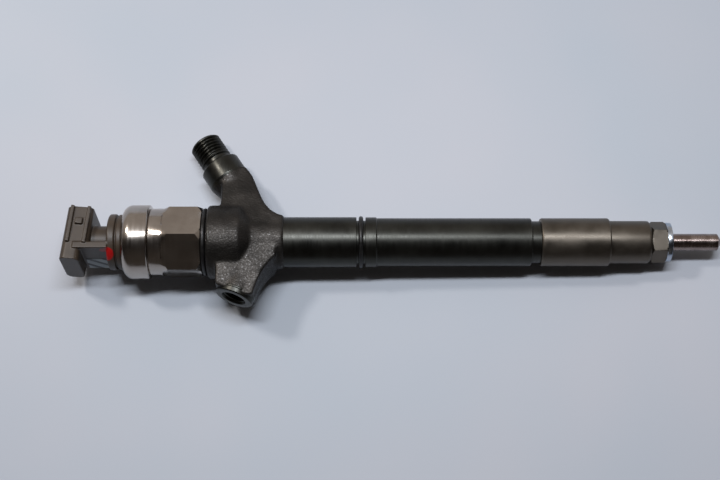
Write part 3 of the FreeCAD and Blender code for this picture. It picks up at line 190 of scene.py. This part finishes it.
def web(outline, thickness):
    """A flat web standing on the axis: outline of (x, p), thickness by distance from the axis."""
    mesh = bmesh.new()
    rows = []
    for i, (x, p) in enumerate(outline):
        after = outline[(i + 1) % len(outline)]
        count = max(1, round(math.dist((x, p), after) / 2.0))
        rows += [(x + (after[0] - x) * k / count, p + (after[1] - p) * k / count) for k in range(count)]
    caps = []
    for side in (-1, 1):
        caps.append([mesh.verts.new((x, p, side * thickness(abs(p)) / 2)) for x, p in rows])
    for k in range(len(rows)):
        nxt = (k + 1) % len(rows)
        mesh.faces.new((caps[0][k], caps[0][nxt], caps[1][nxt], caps[1][k]))
    for cap in caps:
        edges = [mesh.edges.get((cap[k], cap[(k + 1) % len(cap)])) for k in range(len(cap))]
        bmesh.ops.triangle_fill(mesh, edges=edges, use_beauty=True)
    bmesh.ops.recalc_face_normals(mesh, faces=mesh.faces)
    mesh.transform(to_frame())
    return mesh


def merged(meshes):
    """Several meshes in one, kept as separate shells."""
    whole = bmesh.new()
    for mesh in meshes:
        data = bpy.data.meshes.new("part")
        mesh.to_mesh(data)
        mesh.free()
        whole.from_mesh(data)
        bpy.data.meshes.remove(data)
    return whole


def modified(mesh, *modifiers):
    """The mesh after a list of (type, settings) modifiers."""
    data = bpy.data.meshes.new("work")
    mesh.to_mesh(data)
    mesh.free()
    work = bpy.data.objects.new("work", data)
    bpy.context.scene.collection.objects.link(work)
    for kind, settings in modifiers:
        made = work.modifiers.new(kind.lower(), kind)
        for key, value in settings.items():
            setattr(made, key, value)
    bpy.context.view_layer.update()
    result = bpy.data.meshes.new_from_object(work.evaluated_get(bpy.context.evaluated_depsgraph_get()))
    bpy.data.objects.remove(work)
    bpy.data.meshes.remove(data)
    out = bmesh.new()
    out.from_mesh(result)
    bpy.data.meshes.remove(result)
    return out


UPPER_WEB = [(-189.8, 0), (-189.8, 24.0), (-188.0, 29.5), (-184.0, 33.0), (-180.0, 32.6), (-177.2, 28.8),
             (-175.0, 23.4), (-173.2, 18.4), (-171.2, 14.2), (-168.6, 10.9), (-165.6, 9.0), (-163.2, 8.3),
             (-163.2, 0)]
LOWER_WEB = [(-191.0, 0), (-191.0, -21.5), (-189.5, -22.4), (-178.5, -26.6), (-175.2, -26.2),
             (-174.2, -22.6), (-172.8, -18.9), (-171.0, -15.6), (-168.8, -12.7), (-166.2, -10.2), (-165.4, 0)]
INLET = to_frame(-168.8, 0, 180 - 57.4)
RETURN = to_frame(-174.3, 0, 70 - 180)
HOLE_RADIUS, HOLE_DEPTH, RETURN_END = 5.0, 11.0, 27.1

forging = merged([
    turned([(-195.2, 0), (-195.2, 14.8), (-194.4, 15.5), (-181.4, 15.5), (-176.8, 11.5), (-163.6, 11.4),
            (-162.7, 10.3), (-162.7, 0)], to_frame(), 96, 0.6),
    web(UPPER_WEB, lambda p: 22.4 - 8.8 * min(p / 30, 1)),
    web(LOWER_WEB, lambda p: 22.4 - 8.0 * min(p / 24, 1)),
    turned([(12, 0), (12, 6.7), (27.0, 6.7), (34.0, 8.6), (36.5, 8.6), (36.5, 0)], INLET, 72, 0.2),
    turned([(5, 0), (5, 8.35), (25.2, 8.35), (25.2, 0)], RETURN, 72, 0.3)])
forging = modified(
    forging,
    ("REMESH", {"mode": "VOXEL", "voxel_size": 0.42 * MM}),
    ("SMOOTH", {"factor": 0.5, "iterations": 26}),
    ("SUBSURF", {"levels": 1, "render_levels": 1}))
# blasted grain of 0.55 and 0.3 mm over pits of 2.6 mm and a swell of 7 mm, all as real relief
forging.normal_update()
for vert in forging.verts:
    here = vert.co / MM
    grain_height = noise.noise(here / 0.55) + 0.6 * noise.noise(here / 0.3)
    pits = noise.noise(here / 2.6 + Vector((9, 0, 0)))
    swell = noise.noise(here / 7.0 + Vector((0, 5, 0)))
    vert.co += vert.normal * MM * (0.055 * grain_height + 0.05 * pits + 0.10 * swell - 0.03)
drill = turned([(RETURN_END - HOLE_DEPTH, 0), (RETURN_END - HOLE_DEPTH, HOLE_RADIUS + 0.4),
                (RETURN_END + 3, HOLE_RADIUS + 0.4), (RETURN_END + 3, 0)], RETURN, 72, 0)
drill_data = bpy.data.meshes.new("drill")
drill.to_mesh(drill_data)
drill.free()
drill_piece = bpy.data.objects.new("drill", drill_data)
bpy.context.scene.collection.objects.link(drill_piece)
forging = modified(forging, ("BOOLEAN", {"operation": "DIFFERENCE", "object": drill_piece, "solver": "MANIFOLD"}))
bpy.data.objects.remove(drill_piece)
finished("forged_body", forging, forged_black, 180, "injector_body")

# ---------------------------------------------------------------------------------------------
# Injector body, turned part: head, long shank, sealing groove, band and the spigot inside the nut.
# The same steel turned smooth after forging and blackened; a satin skin with fine feed lines.
turned_black, tree, bsdf, place = new_material("turned_black_oxide", "#41413d", 1.0, 0.36)


def feed_lines(tree, place, pitch, around=14.0):
    """Turning lines of a given pitch in millimetres, square to the injector's axis."""
    across = add_node(tree, "ShaderNodeMapping", {"Vector": place, "Scale": (per_mm(pitch), per_mm(around),
                                                                             per_mm(around))})
    return add_node(tree, "ShaderNodeTexNoise", {"Vector": across.outputs["Vector"], "Scale": 1.0,
                                                 "Detail": 2.0}).outputs["Fac"]


# feed lines of about 0.1 mm are drawn at 0.5 mm, as coarse as they need to show
lines = feed_lines(tree, place, 0.5)
smears = add_node(tree, "ShaderNodeTexNoise", {"Vector": place, "Scale": per_mm(11.0), "Detail": 4.0,
                                               "Roughness": 0.6}).outputs["Fac"]
tree.links.new(blend_colours(tree, smears, "#3a3a37", "#484844", 0.32, 0.7), bsdf.inputs["Base Color"])
rough = add_node(tree, "ShaderNodeMath", {0: spread(tree, smears, 0.3, 0.4, 0.3, 0.72),
                                          1: spread(tree, lines, -0.04, 0.05, 0.3, 0.7)}, operation="ADD")
tree.links.new(rough.outputs["Value"], bsdf.inputs["Roughness"])
bump = add_node(tree, "ShaderNodeBump", {"Height": lines, "Strength": 0.25, "Distance": 0.01 * MM})
tree.links.new(bump.outputs["Normal"], bsdf.inputs["Normal"])

AXIS = to_frame()
shank = turned([(-172, 0), (-172, 10.55), (-132.7, 10.55), (-132.7, 9.1), (-128.9, 9.1), (-128.9, 10.5),
                (-124.5, 10.5), (-124.1, 10.1), (-59.7, 10.1), (-59.3, 9.7), (-59.3, 8.85), (-55.5, 8.85),
                (-55.5, 8.45), (-37.0, 8.45), (-35.7, 7.15), (-35.0, 7.15), (-35.0, 4.0), (-70.0, 4.0),
                (-70.0, 2.5), (-100.0, 2.5), (-100.0, 0)], AXIS, 192, 0.12)
head = turned([(-207, 9.0), (-207, 11.05), (-206.1, 11.95), (-197.3, 11.95), (-197.3, 12.3),
               (-194.7, 12.3), (-194.7, 14.8), (-194.0, 15.35), (-191.5, 15.35), (-191.0, 12.0), (-191.0, 9.0)],
              AXIS, 192, 0.12)
finished("turned_shank", shank, turned_black, 35)
finished("turned_head", head, turned_black, 35)

# ---------------------------------------------------------------------------------------------
# Injector body, fittings: M14 x 1.5 inlet stub with its 60 degree cone, and the return collar
# with its M10 x 1 thread. Turned and threaded on the forging, blackened with it.


def threaded(start, end, outer, pitch, depth, place, inside=False, steps=96, rows_per_turn=14):
    """A helical vee thread between two stations; the crest is at outer, or the root if inside."""
    mesh = bmesh.new()
    count = int((end - start) / pitch * rows_per_turn)
    grid = []
    for i in range(count + 1):
        x = start + (end - start) * i / count
        fade = min(1.0, (x - start) / pitch, (end - x) / (0.6 * pitch))
        row = []
        for k in range(steps):
            turn = k / steps
            phase = (x / pitch - turn) % 1.0
            height = min(1.0, max(0.0, abs(phase - 0.5) * 2.6 - 0.16))
            radius = outer - depth * (1 - height) * fade if not inside else outer - depth * height * fade
            angle = 2 * math.pi * turn
            row.append(mesh.verts.new(place @ Vector((x, radius * math.cos(angle), radius * math.sin(angle)))))
        grid.append(row)
    for a, b in zip(grid, grid[1:]):
        for k in range(steps):
            mesh.faces.new((a[k], a[(k + 1) % steps], b[(k + 1) % steps], b[k]))
    return mesh, grid


def capped_thread(start, end, outer, pitch, depth, place, before, after, inside=False, steps=96):
    """A thread joined to rings of (station, radius) before and after it, which close the solid."""
    mesh, grid = threaded(start, end, outer, pitch, depth, place, inside, steps)
    closing = eased(after + before, 0.12)
    rings = [[mesh.verts.new(place @ Vector((x, r * math.cos(2 * math.pi * k / steps),
                                             r * math.sin(2 * math.pi * k / steps))))
              for k in range(steps)] for x, r in closing]
    loops = [grid[-1]] + rings + [grid[0]]
    for a, b in zip(loops, loops[1:]):
        for k in range(steps):
            mesh.faces.new((a[k], a[(k + 1) % steps], b[(k + 1) % steps], b[k]))
    bmesh.ops.recalc_face_normals(mesh, faces=mesh.faces)
    return mesh


inlet = capped_thread(
    45.5, 54.6, 6.9, 1.5, 0.92, INLET,
    before=[(33.0, 1.6), (33.0, 8.2), (34.5, 8.7), (41.9, 8.7), (42.6, 8.0), (42.6, 6.15), (45.0, 6.15), (45.4, 6.8)],
    after=[(54.7, 6.85), (55.5, 6.0), (55.5, 4.0), (51.5, 1.6)])
finished("inlet_stub", inlet, turned_black, 40)
collar = capped_thread(
    16.3, 26.3, 5.0, 1.0, 0.54, RETURN,
    before=[(16.0, 5.9), (16.0, 4.5)],
    after=[(26.4, 4.95), (27.1, 5.3), (27.1, 7.7), (26.7, 8.1), (25.1, 8.1), (24.9, 8.3), (24.0, 8.3), (24.0, 5.9)],
    inside=True)
floor_of_hole = turned([(12.0, 0), (12.0, 5.6), (16.2, 5.6), (16.2, 4.5), (14.0, 0)], RETURN, 96, 0)
finished("return_collar", merged([collar, floor_of_hole]), turned_black, 40)

# ---------------------------------------------------------------------------------------------
# Sealing rings: one on the shank, one between body and retaining nut, one inside the connector.
# Moulded fluorocarbon rubber, lightly oiled, so black with a soft sheen.
rubber, tree, bsdf, place = new_material("moulded_black_rubber", "#0d0d0d", 0.0, 0.42)
bloom = add_node(tree, "ShaderNodeTexNoise", {"Vector": place, "Scale": per_mm(1.8), "Detail": 5.0}).outputs["Fac"]
tree.links.new(blend_colours(tree, bloom, "#0a0a0a", "#191817"), bsdf.inputs["Base Color"])
tree.links.new(spread(tree, bloom, 0.3, 0.52), bsdf.inputs["Roughness"])


def seal(name, station, mean_radius, section, node):
    """A ring of round section, a little flattened on the metal it sits on."""
    outline = []
    for k in range(24):
        a = 2 * math.pi * k / 24
        outline.append((station + section / 2 * math.cos(a), mean_radius + section / 2 * math.sin(a) * 0.98))
    flash = turned(outline, AXIS, 192, 0)
    finished(name, flash, rubber, 60, node)


seal("shank_seal", -130.8, 10.05, 1.9, "body_o_ring")
seal("head_seal", -196.25, 13.3, 2.0, "head_o_ring")

# ---------------------------------------------------------------------------------------------
# Nozzle retaining nut: slim nut that clamps the nozzle to the body, with a 15 mm hexagonal nose.
# Turned steel, grey-black phosphate; a dry, slightly brown grey with soft highlights.
phosphate, tree, bsdf, place = new_material("grey_phosphate", "#6a645c", 0.95, 0.4)
crystal = add_node(tree, "ShaderNodeTexNoise", {"Vector": place, "Scale": per_mm(0.5), "Detail": 3.0}).outputs["Fac"]
handled = add_node(tree, "ShaderNodeTexNoise", {"Vector": place, "Scale": per_mm(8.0), "Detail": 4.0}).outputs["Fac"]
tree.links.new(blend_colours(tree, handled, "#5b554d", "#6f685f", 0.3, 0.72), bsdf.inputs["Base Color"])
rough = add_node(tree, "ShaderNodeMath", {0: spread(tree, handled, 0.34, 0.46), 1: spread(
    tree, crystal, -0.05, 0.05)}, operation="ADD")
tree.links.new(rough.outputs["Value"], bsdf.inputs["Roughness"])
bump = add_node(tree, "ShaderNodeBump", {"Height": feed_lines(tree, place, 0.5), "Strength": 0.2,
                                         "Distance": 0.01 * MM})
tree.links.new(bump.outputs["Normal"], bsdf.inputs["Normal"])


def hexed(outside, inside, flats, hex_turn, place, columns=360):
    """A turned solid whose outside is cut by a hexagon: outline outside of (station, radius, cut).

    Rows marked cut stop at the flats, and the row between a free and a cut one moves to where the
    cone meets the flat, so the chamfer arcs come out as true curves.
    """
    mesh = bmesh.new()
    rings = [[] for _ in range(len(outside) + len(inside))]
    for k in range(columns):
        angle = 2 * math.pi * k / columns
        off = (math.degrees(angle) - hex_turn) % 60 - 30
        wall = flats / 2 / math.cos(math.radians(off))
        for i, (x, r, follows) in enumerate(outside):
            if follows == "flat":
                r = min(r, wall)
            elif follows == "edge":
                # on the chamfer cone that runs from the ring before (or after) to this one
                (x0, r0), (x1, r1) = r
                r = min(wall, r1)
                r = max(r, r0)
                x = x0 + (x1 - x0) * (r - r0) / (r1 - r0)
            rings[i].append(mesh.verts.new(place @ Vector((x, r * math.cos(angle), r * math.sin(angle)))))
        for i, (x, r) in enumerate(inside, start=len(outside)):
            rings[i].append(mesh.verts.new(place @ Vector((x, r * math.cos(angle), r * math.sin(angle)))))
    for a, b in zip(rings, rings[1:] + rings[:1]):
        for k in range(columns):
            mesh.faces.new((a[k], a[(k + 1) % columns], b[(k + 1) % columns], b[k]))
    bmesh.ops.recalc_face_normals(mesh, faces=mesh.faces)
    return mesh


CORNER = 15.0 / math.sqrt(3)
barrel_outside = [(x, r, "round") for x, r in [
    (-55.5, 9.5), (-55.35, 9.85), (-54.9, 10.1), (-27.25, 10.1), (-26.75, 9.8), (-26.6, 9.3), (-26.6, 9.0),
    (-26.55, 8.95), (-10.8, 8.95), (-10.2, 8.83), (-9.75, 8.5), (-9.4, 8.0), (-9.3, 7.6), (-9.28, 7.5)]]
MILLED = 99  # beyond any corner, so the flats alone set the radius
nose = [(0, ((-9.25, 7.5), (-8.5, CORNER)), "edge"), (-8.3, MILLED, "flat"), (-3.45, MILLED, "flat"),
        (-3.3, CORNER - 0.1, "flat")]
nut = hexed(barrel_outside + nose + [(-2.9, CORNER - 0.5, "flat"), (-2.9, 7.2, "round")],
            [(-2.9, 4.7), (-10.6, 4.7), (-11.4, 7.3), (-35.5, 7.3), (-35.5, 8.5), (-55.5, 8.5)],
            15.0, 17.0, AXIS)
finished("nozzle_nut", nut, phosphate, 28, "nozzle_retaining_nut")

# ---------------------------------------------------------------------------------------------
# Sealing washer: bevelled ring that seals the nozzle in the cylinder head.
# Stamped steel, zinc plated and passivated, so bright with a blue cast.
zinc, tree, bsdf, place = new_material("blue_zinc_plate", "#b9c3d2", 1.0, 0.2)
haze = add_node(tree, "ShaderNodeTexNoise", {"Vector": place, "Scale": per_mm(2.5), "Detail": 4.0}).outputs["Fac"]
tree.links.new(blend_colours(tree, haze, "#9fb0c6", "#d3d8de"), bsdf.inputs["Base Color"])
tree.links.new(spread(tree, haze, 0.14, 0.3), bsdf.inputs["Roughness"])
washer = turned([(-2.9, 3.6), (-2.9, 8.0), (-2.7, 8.2), (-0.9, 8.2), (0, 5.3), (0, 3.6)], AXIS, 144, 0.18)
finished("seat_washer", washer, zinc, 35, "sealing_washer")

# ---------------------------------------------------------------------------------------------
# Nozzle: hardened tool steel, ground on its shank and tempered by the engine to a straw brown.
# The blunt tip keeps its drilled spray holes.
tempered, tree, bsdf, place = new_material("straw_tempered_steel", "#8a7a76", 1.0, 0.2)
stain = add_node(tree, "ShaderNodeTexNoise", {"Vector": place, "Scale": per_mm(5.0), "Detail": 5.0}).outputs["Fac"]
tree.links.new(blend_colours(tree, stain, "#75655f", "#a49690"), bsdf.inputs["Base Color"])
rough = add_node(tree, "ShaderNodeMath", {0: spread(tree, stain, 0.16, 0.28), 1: spread(
    tree, feed_lines(tree, place, 0.35), -0.03, 0.05)}, operation="ADD")
tree.links.new(rough.outputs["Value"], bsdf.inputs["Roughness"])
for node in ("nozzle_body",):
    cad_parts[node].data.materials.clear()
    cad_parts[node].data.materials.append(tempered)

# ---------------------------------------------------------------------------------------------
# Solenoid housing and its retaining nut: the round can over the magnet and the 27 mm hexagon.
# Stainless steel, turned bright and left bare, with fine rings and a soft silver sheen.
stainless, tree, bsdf, place = new_material("turned_stainless_steel", "#b8afa7", 1.0, 0.24)
rings = feed_lines(tree, place, 0.4, 30.0)
worn = add_node(tree, "ShaderNodeTexNoise", {"Vector": place, "Scale": per_mm(7.0), "Detail": 4.0}).outputs["Fac"]
tree.links.new(blend_colours(tree, worn, "#ada49c", "#bdb5ad"), bsdf.inputs["Base Color"])
rough = add_node(tree, "ShaderNodeMath", {0: spread(tree, worn, 0.17, 0.21), 1: spread(
    tree, rings, -0.03, 0.04)}, operation="ADD")
tree.links.new(rough.outputs["Value"], bsdf.inputs["Roughness"])
bump = add_node(tree, "ShaderNodeBump", {"Height": rings, "Strength": 0.3, "Distance": 0.01 * MM})
tree.links.new(bump.outputs["Normal"], bsdf.inputs["Normal"])

arc = [(-230.5 + 4.2 - 4.2 * math.cos(a), 11.4 + 4.2 * math.sin(a))
       for a in (math.pi / 2 * k / 12 for k in range(13))]
can = turned([(-230.5, 9.55)] + arc + [(-219.6, 15.6), (-219.2, 15.2), (-219.2, 10.8), (-212.4, 10.8),
                                      (-212.4, 11.3), (-208, 11.3), (-208, 9.55)], AXIS, 192, 0.15)
finished("solenoid_can", can, stainless, 35, "solenoid_housing")

CORNER = 27.0 / math.sqrt(3)
outside = [(x, r, "round") for x, r in [(-219.2, 13.6), (-219.1, 13.85), (-218.8, 14.1), (-218.6, 14.15),
                                        (-213.6, 14.15)]]
outside += [(0, ((-213.5, 13.5), (-210.9, CORNER)), "edge"), (-210.8, MILLED, "flat"),
            (-199.4, MILLED, "flat")]
outside += [(0, ((-197.3, CORNER - 1.3), (-199.2, CORNER)), "edge"), (-197.3, CORNER - 1.4, "flat")]
cap = hexed(outside, [(-197.3, 12.0), (-212.5, 12.0), (-212.5, 10.9), (-219.2, 10.9)], 27.0, 41.0, AXIS)
finished("cap_nut", cap, stainless, 28, "solenoid_retaining_nut")

# ---------------------------------------------------------------------------------------------
# Connector: base disc, post, side arm and slanted shroud in one moulding.
# Dark brown glass-filled polyamide, spark-eroded mould texture, satin with rounded edges.
polyamide, tree, bsdf, place = new_material("glass_filled_polyamide", "#493f36", 0.0, 0.42)
flow = add_node(tree, "ShaderNodeTexNoise", {"Vector": place, "Scale": per_mm(4.0), "Detail": 5.0}).outputs["Fac"]
spark = add_node(tree, "ShaderNodeTexNoise", {"Vector": place, "Scale": per_mm(0.35), "Detail": 2.0}).outputs["Fac"]
plastic = blend_colours(tree, flow, "#382e25", "#43382d")
# a dab of red inspection paint on the rim of the base disc
dab = add_node(tree, "ShaderNodeVectorMath", {0: place, 1: (-0.2358, -0.0069, 0.0096)}, operation="DISTANCE")
edge = add_node(tree, "ShaderNodeMath", {0: dab.outputs["Value"], 1: spread(tree, flow, -0.8 * MM, 0.8 * MM)},
                operation="ADD")
painted = spread(tree, edge.outputs["Value"], 1.0, 0.0, 2.6 * MM, 3.3 * MM)
colour = add_node(tree, "ShaderNodeMix", {"Factor": painted, "A": plastic, "B": linear("#a30b0b")}, data_type="RGBA")
tree.links.new(colour.outputs["Result"], bsdf.inputs["Base Color"])
tree.links.new(spread(tree, spark, 0.36, 0.5), bsdf.inputs["Roughness"])
bump = add_node(tree, "ShaderNodeBump", {"Height": spark, "Strength": 0.15, "Distance": 0.03 * MM})
tree.links.new(bump.outputs["Normal"], bsdf.inputs["Normal"])

moulding = bmesh.new()
moulding.from_mesh(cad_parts["connector_housing"].data)
bmesh.ops.remove_doubles(moulding, verts=moulding.verts, dist=1e-6)
moulding = modified(
    moulding,
    ("REMESH", {"mode": "VOXEL", "voxel_size": 0.2 * MM}),
    ("SMOOTH", {"factor": 0.5, "iterations": 7}))
finished("moulded_connector", moulding, polyamide, 180, "connector_housing")

# ---------------------------------------------------------------------------------------------
# Everything that keeps its CAD shape: inner steel pieces, springs, iron, winding, blades, label.
# Ground and lapped steel unless said otherwise, each with its own finish.
ground, tree, bsdf, place = new_material("ground_steel", "#aeaeb0", 1.0, 0.2)
lines = feed_lines(tree, place, 0.3)
tree.links.new(blend_colours(tree, lines, "#a2a2a5", "#bdbdbd"), bsdf.inputs["Base Color"])
tree.links.new(spread(tree, lines, 0.14, 0.28), bsdf.inputs["Roughness"])
spring_wire, tree, bsdf, place = new_material("oil_tempered_wire", "#5c5c60", 1.0, 0.32)
scale = add_node(tree, "ShaderNodeTexNoise", {"Vector": place, "Scale": per_mm(0.8), "Detail": 3.0}).outputs["Fac"]
tree.links.new(blend_colours(tree, scale, "#4b4b50", "#6f6e70"), bsdf.inputs["Base Color"])
tree.links.new(spread(tree, scale, 0.24, 0.42), bsdf.inputs["Roughness"])
sintered, tree, bsdf, place = new_material("sintered_iron", "#68645f", 1.0, 0.5)
pores = add_node(tree, "ShaderNodeTexNoise", {"Vector": place, "Scale": per_mm(0.4), "Detail": 3.0}).outputs["Fac"]
tree.links.new(blend_colours(tree, pores, "#4d4945", "#7a756f"), bsdf.inputs["Base Color"])
tree.links.new(spread(tree, pores, 0.6, 0.4), bsdf.inputs["Roughness"])
enamel_wire, tree, bsdf, place = new_material("enamelled_copper", "#b4572a", 1.0, 0.25)
turns = feed_lines(tree, place, 0.35, 60.0)
tree.links.new(blend_colours(tree, turns, "#8e3f1c", "#c96a36"), bsdf.inputs["Base Color"])
bump = add_node(tree, "ShaderNodeBump", {"Height": turns, "Strength": 0.8, "Distance": 0.1 * MM})
tree.links.new(bump.outputs["Normal"], bsdf.inputs["Normal"])
natural_nylon, tree, bsdf, place = new_material("natural_polyamide", "#d0c6b2", 0.0, 0.4)
cloud = add_node(tree, "ShaderNodeTexNoise", {"Vector": place, "Scale": per_mm(3.0), "Detail": 3.0}).outputs["Fac"]
tree.links.new(blend_colours(tree, cloud, "#c6bba5", "#d9d0be"), bsdf.inputs["Base Color"])
tin_plate, tree, bsdf, place = new_material("tin_plate", "#c9c5bb", 1.0, 0.3)
wipe = feed_lines(tree, place, 2.0, 0.3)
tree.links.new(blend_colours(tree, wipe, "#b7b2a6", "#d6d3ca"), bsdf.inputs["Base Color"])
tree.links.new(spread(tree, wipe, 0.22, 0.4), bsdf.inputs["Roughness"])
film, tree, bsdf, place = new_material("printed_film", "#9aa3a6", 0.0, 0.35)
stripe = add_node(tree, "ShaderNodeTexWave", {"Vector": place, "Scale": per_mm(11.0), "Distortion": 0.0},
                  wave_type="BANDS", bands_direction="DIAGONAL")
tree.links.new(blend_colours(tree, stripe.outputs["Fac"], "#9aa3a6", "#20262c", 0.62, 0.7), bsdf.inputs["Base Color"])

finishes = {
    ground: ("air_gap_shim", "valve_spring_plug", "ball_cup", "valve_ball", "armature_guide",
             "valve_clamp_ring", "valve_piece", "inlet_filter", "command_piston", "spring_shim",
             "pressure_pin", "distance_piece", "dowel_pins", "nozzle_needle"),
    spring_wire: ("valve_spring", "nozzle_spring"),
    sintered: ("solenoid_core", "armature"),
    enamel_wire: ("coil_winding",),
    natural_nylon: ("coil_bobbin",),
    tin_plate: ("terminal_blades",),
    film: ("identity_label",),
    rubber: ("connector_o_ring",),
}
for material, nodes in finishes.items():
    for node in nodes:
        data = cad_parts[node].data
        data.materials.clear()
        data.materials.append(material)

# ---------------------------------------------------------------------------------------------
# Bench, lights and camera. The injector rests on its can and on the nozzle nut, so the bench
# meets both; the light is one cool lamp overhead, one near-white lamp to the left and dim walls.
SLOPE = (15.6 - 10.1) / (219.0 - 26.6)
bench = bmesh.new()
CAN_X, CAN_Z = -219.0, -15.65  # where the bench meets the can
corners = [bench.verts.new((x * MM, y * MM, (CAN_Z + (x - CAN_X) * SLOPE) * MM))
           for x, y in ((-1700, -1500), (1500, -1500), (1500, 1500), (-1700, 1500))]
bench.faces.new(corners)
data = bpy.data.meshes.new("bench")
bench.to_mesh(data)
bench.free()
floor = bpy.data.objects.new("bench", data)
bpy.context.scene.collection.objects.link(floor)
laminate, tree, bsdf, place = new_material("pale_laminate", "#b6bec7", 0.0, 0.45)
cloud = add_node(tree, "ShaderNodeTexNoise", {"Vector": place, "Scale": 9.0, "Detail": 2.0}).outputs["Fac"]
tree.links.new(blend_colours(tree, cloud, "#b3bcc7", "#bdc0c9"), bsdf.inputs["Base Color"])
data.materials.append(laminate)

world = bpy.data.worlds.new("room")
bpy.context.scene.world = world
world.use_nodes = True
tree = world.node_tree
direction = add_node(tree, "ShaderNodeTexCoord").outputs["Generated"]
parts = add_node(tree, "ShaderNodeSeparateXYZ", {"Vector": direction})
side = add_node(tree, "ShaderNodeMapRange", {"Value": parts.outputs["Y"], "From Min": -1.0, "From Max": 1.0})
walls = add_node(tree, "ShaderNodeValToRGB", {"Fac": side.outputs["Result"]})
ramp = walls.color_ramp
ramp.elements[0].position = 0.0
ramp.elements[0].color = linear("#46413d")
ramp.elements[1].position = 1.0
ramp.elements[1].color = linear("#a39c96")
for position, code in ((0.3, "#211e1c"), (0.5, "#2a2725"), (0.62, "#8f8882"), (0.75, "#aaa39d")):
    stop = ramp.elements.new(position)
    stop.color = linear(code)
background = tree.nodes["Background"]
tree.links.new(walls.outputs["Color"], background.inputs["Color"])
background.inputs["Strength"].default_value = 1.0


def lamp(name, power, colour, place, target, width, depth):
    """A rectangular lamp that faces a target."""
    light = bpy.data.lights.new(name, "AREA")
    light.shape = "RECTANGLE"
    light.size, light.size_y = width, depth
    light.energy = power
    light.color = linear(colour)[:3]
    holder = bpy.data.objects.new(name, light)
    holder.location = place
    holder.rotation_euler = (Vector(target) - Vector(place)).to_track_quat("-Z", "Y").to_euler()
    bpy.context.scene.collection.objects.link(holder)


lamp("overhead_lamp", 10.0, "#f2f7ff", (-0.16, 0.30, 1.20), (-0.13, 0, 0), 0.8, 0.10)
lamp("rear_lamp", 4.0, "#fbf4ee", (-0.75, 0.45, 0.85), (-0.13, 0, 0), 0.12, 0.12)

camera = bpy.data.cameras.new("camera")
camera.lens = 70.0
camera.sensor_width = 36.0
camera.clip_start = 0.01
viewer = bpy.data.objects.new("camera", camera)
ELEVATION = math.radians(78.0)
toward = Vector((0, -math.cos(ELEVATION), math.sin(ELEVATION)))
upward = Vector((0, math.sin(ELEVATION), math.cos(ELEVATION)))
target = Vector((-0.1312, 0, 0)) + upward * 0.00093
viewer.matrix_world = Matrix.Translation(target + toward * 0.590) @ Matrix(
    ((1, 0, 0), (0, upward.y, toward.y), (0, upward.z, toward.z))).to_4x4()
bpy.context.scene.collection.objects.link(viewer)
bpy.context.scene.camera = viewer
bpy.context.scene.view_settings.view_transform = "Standard"
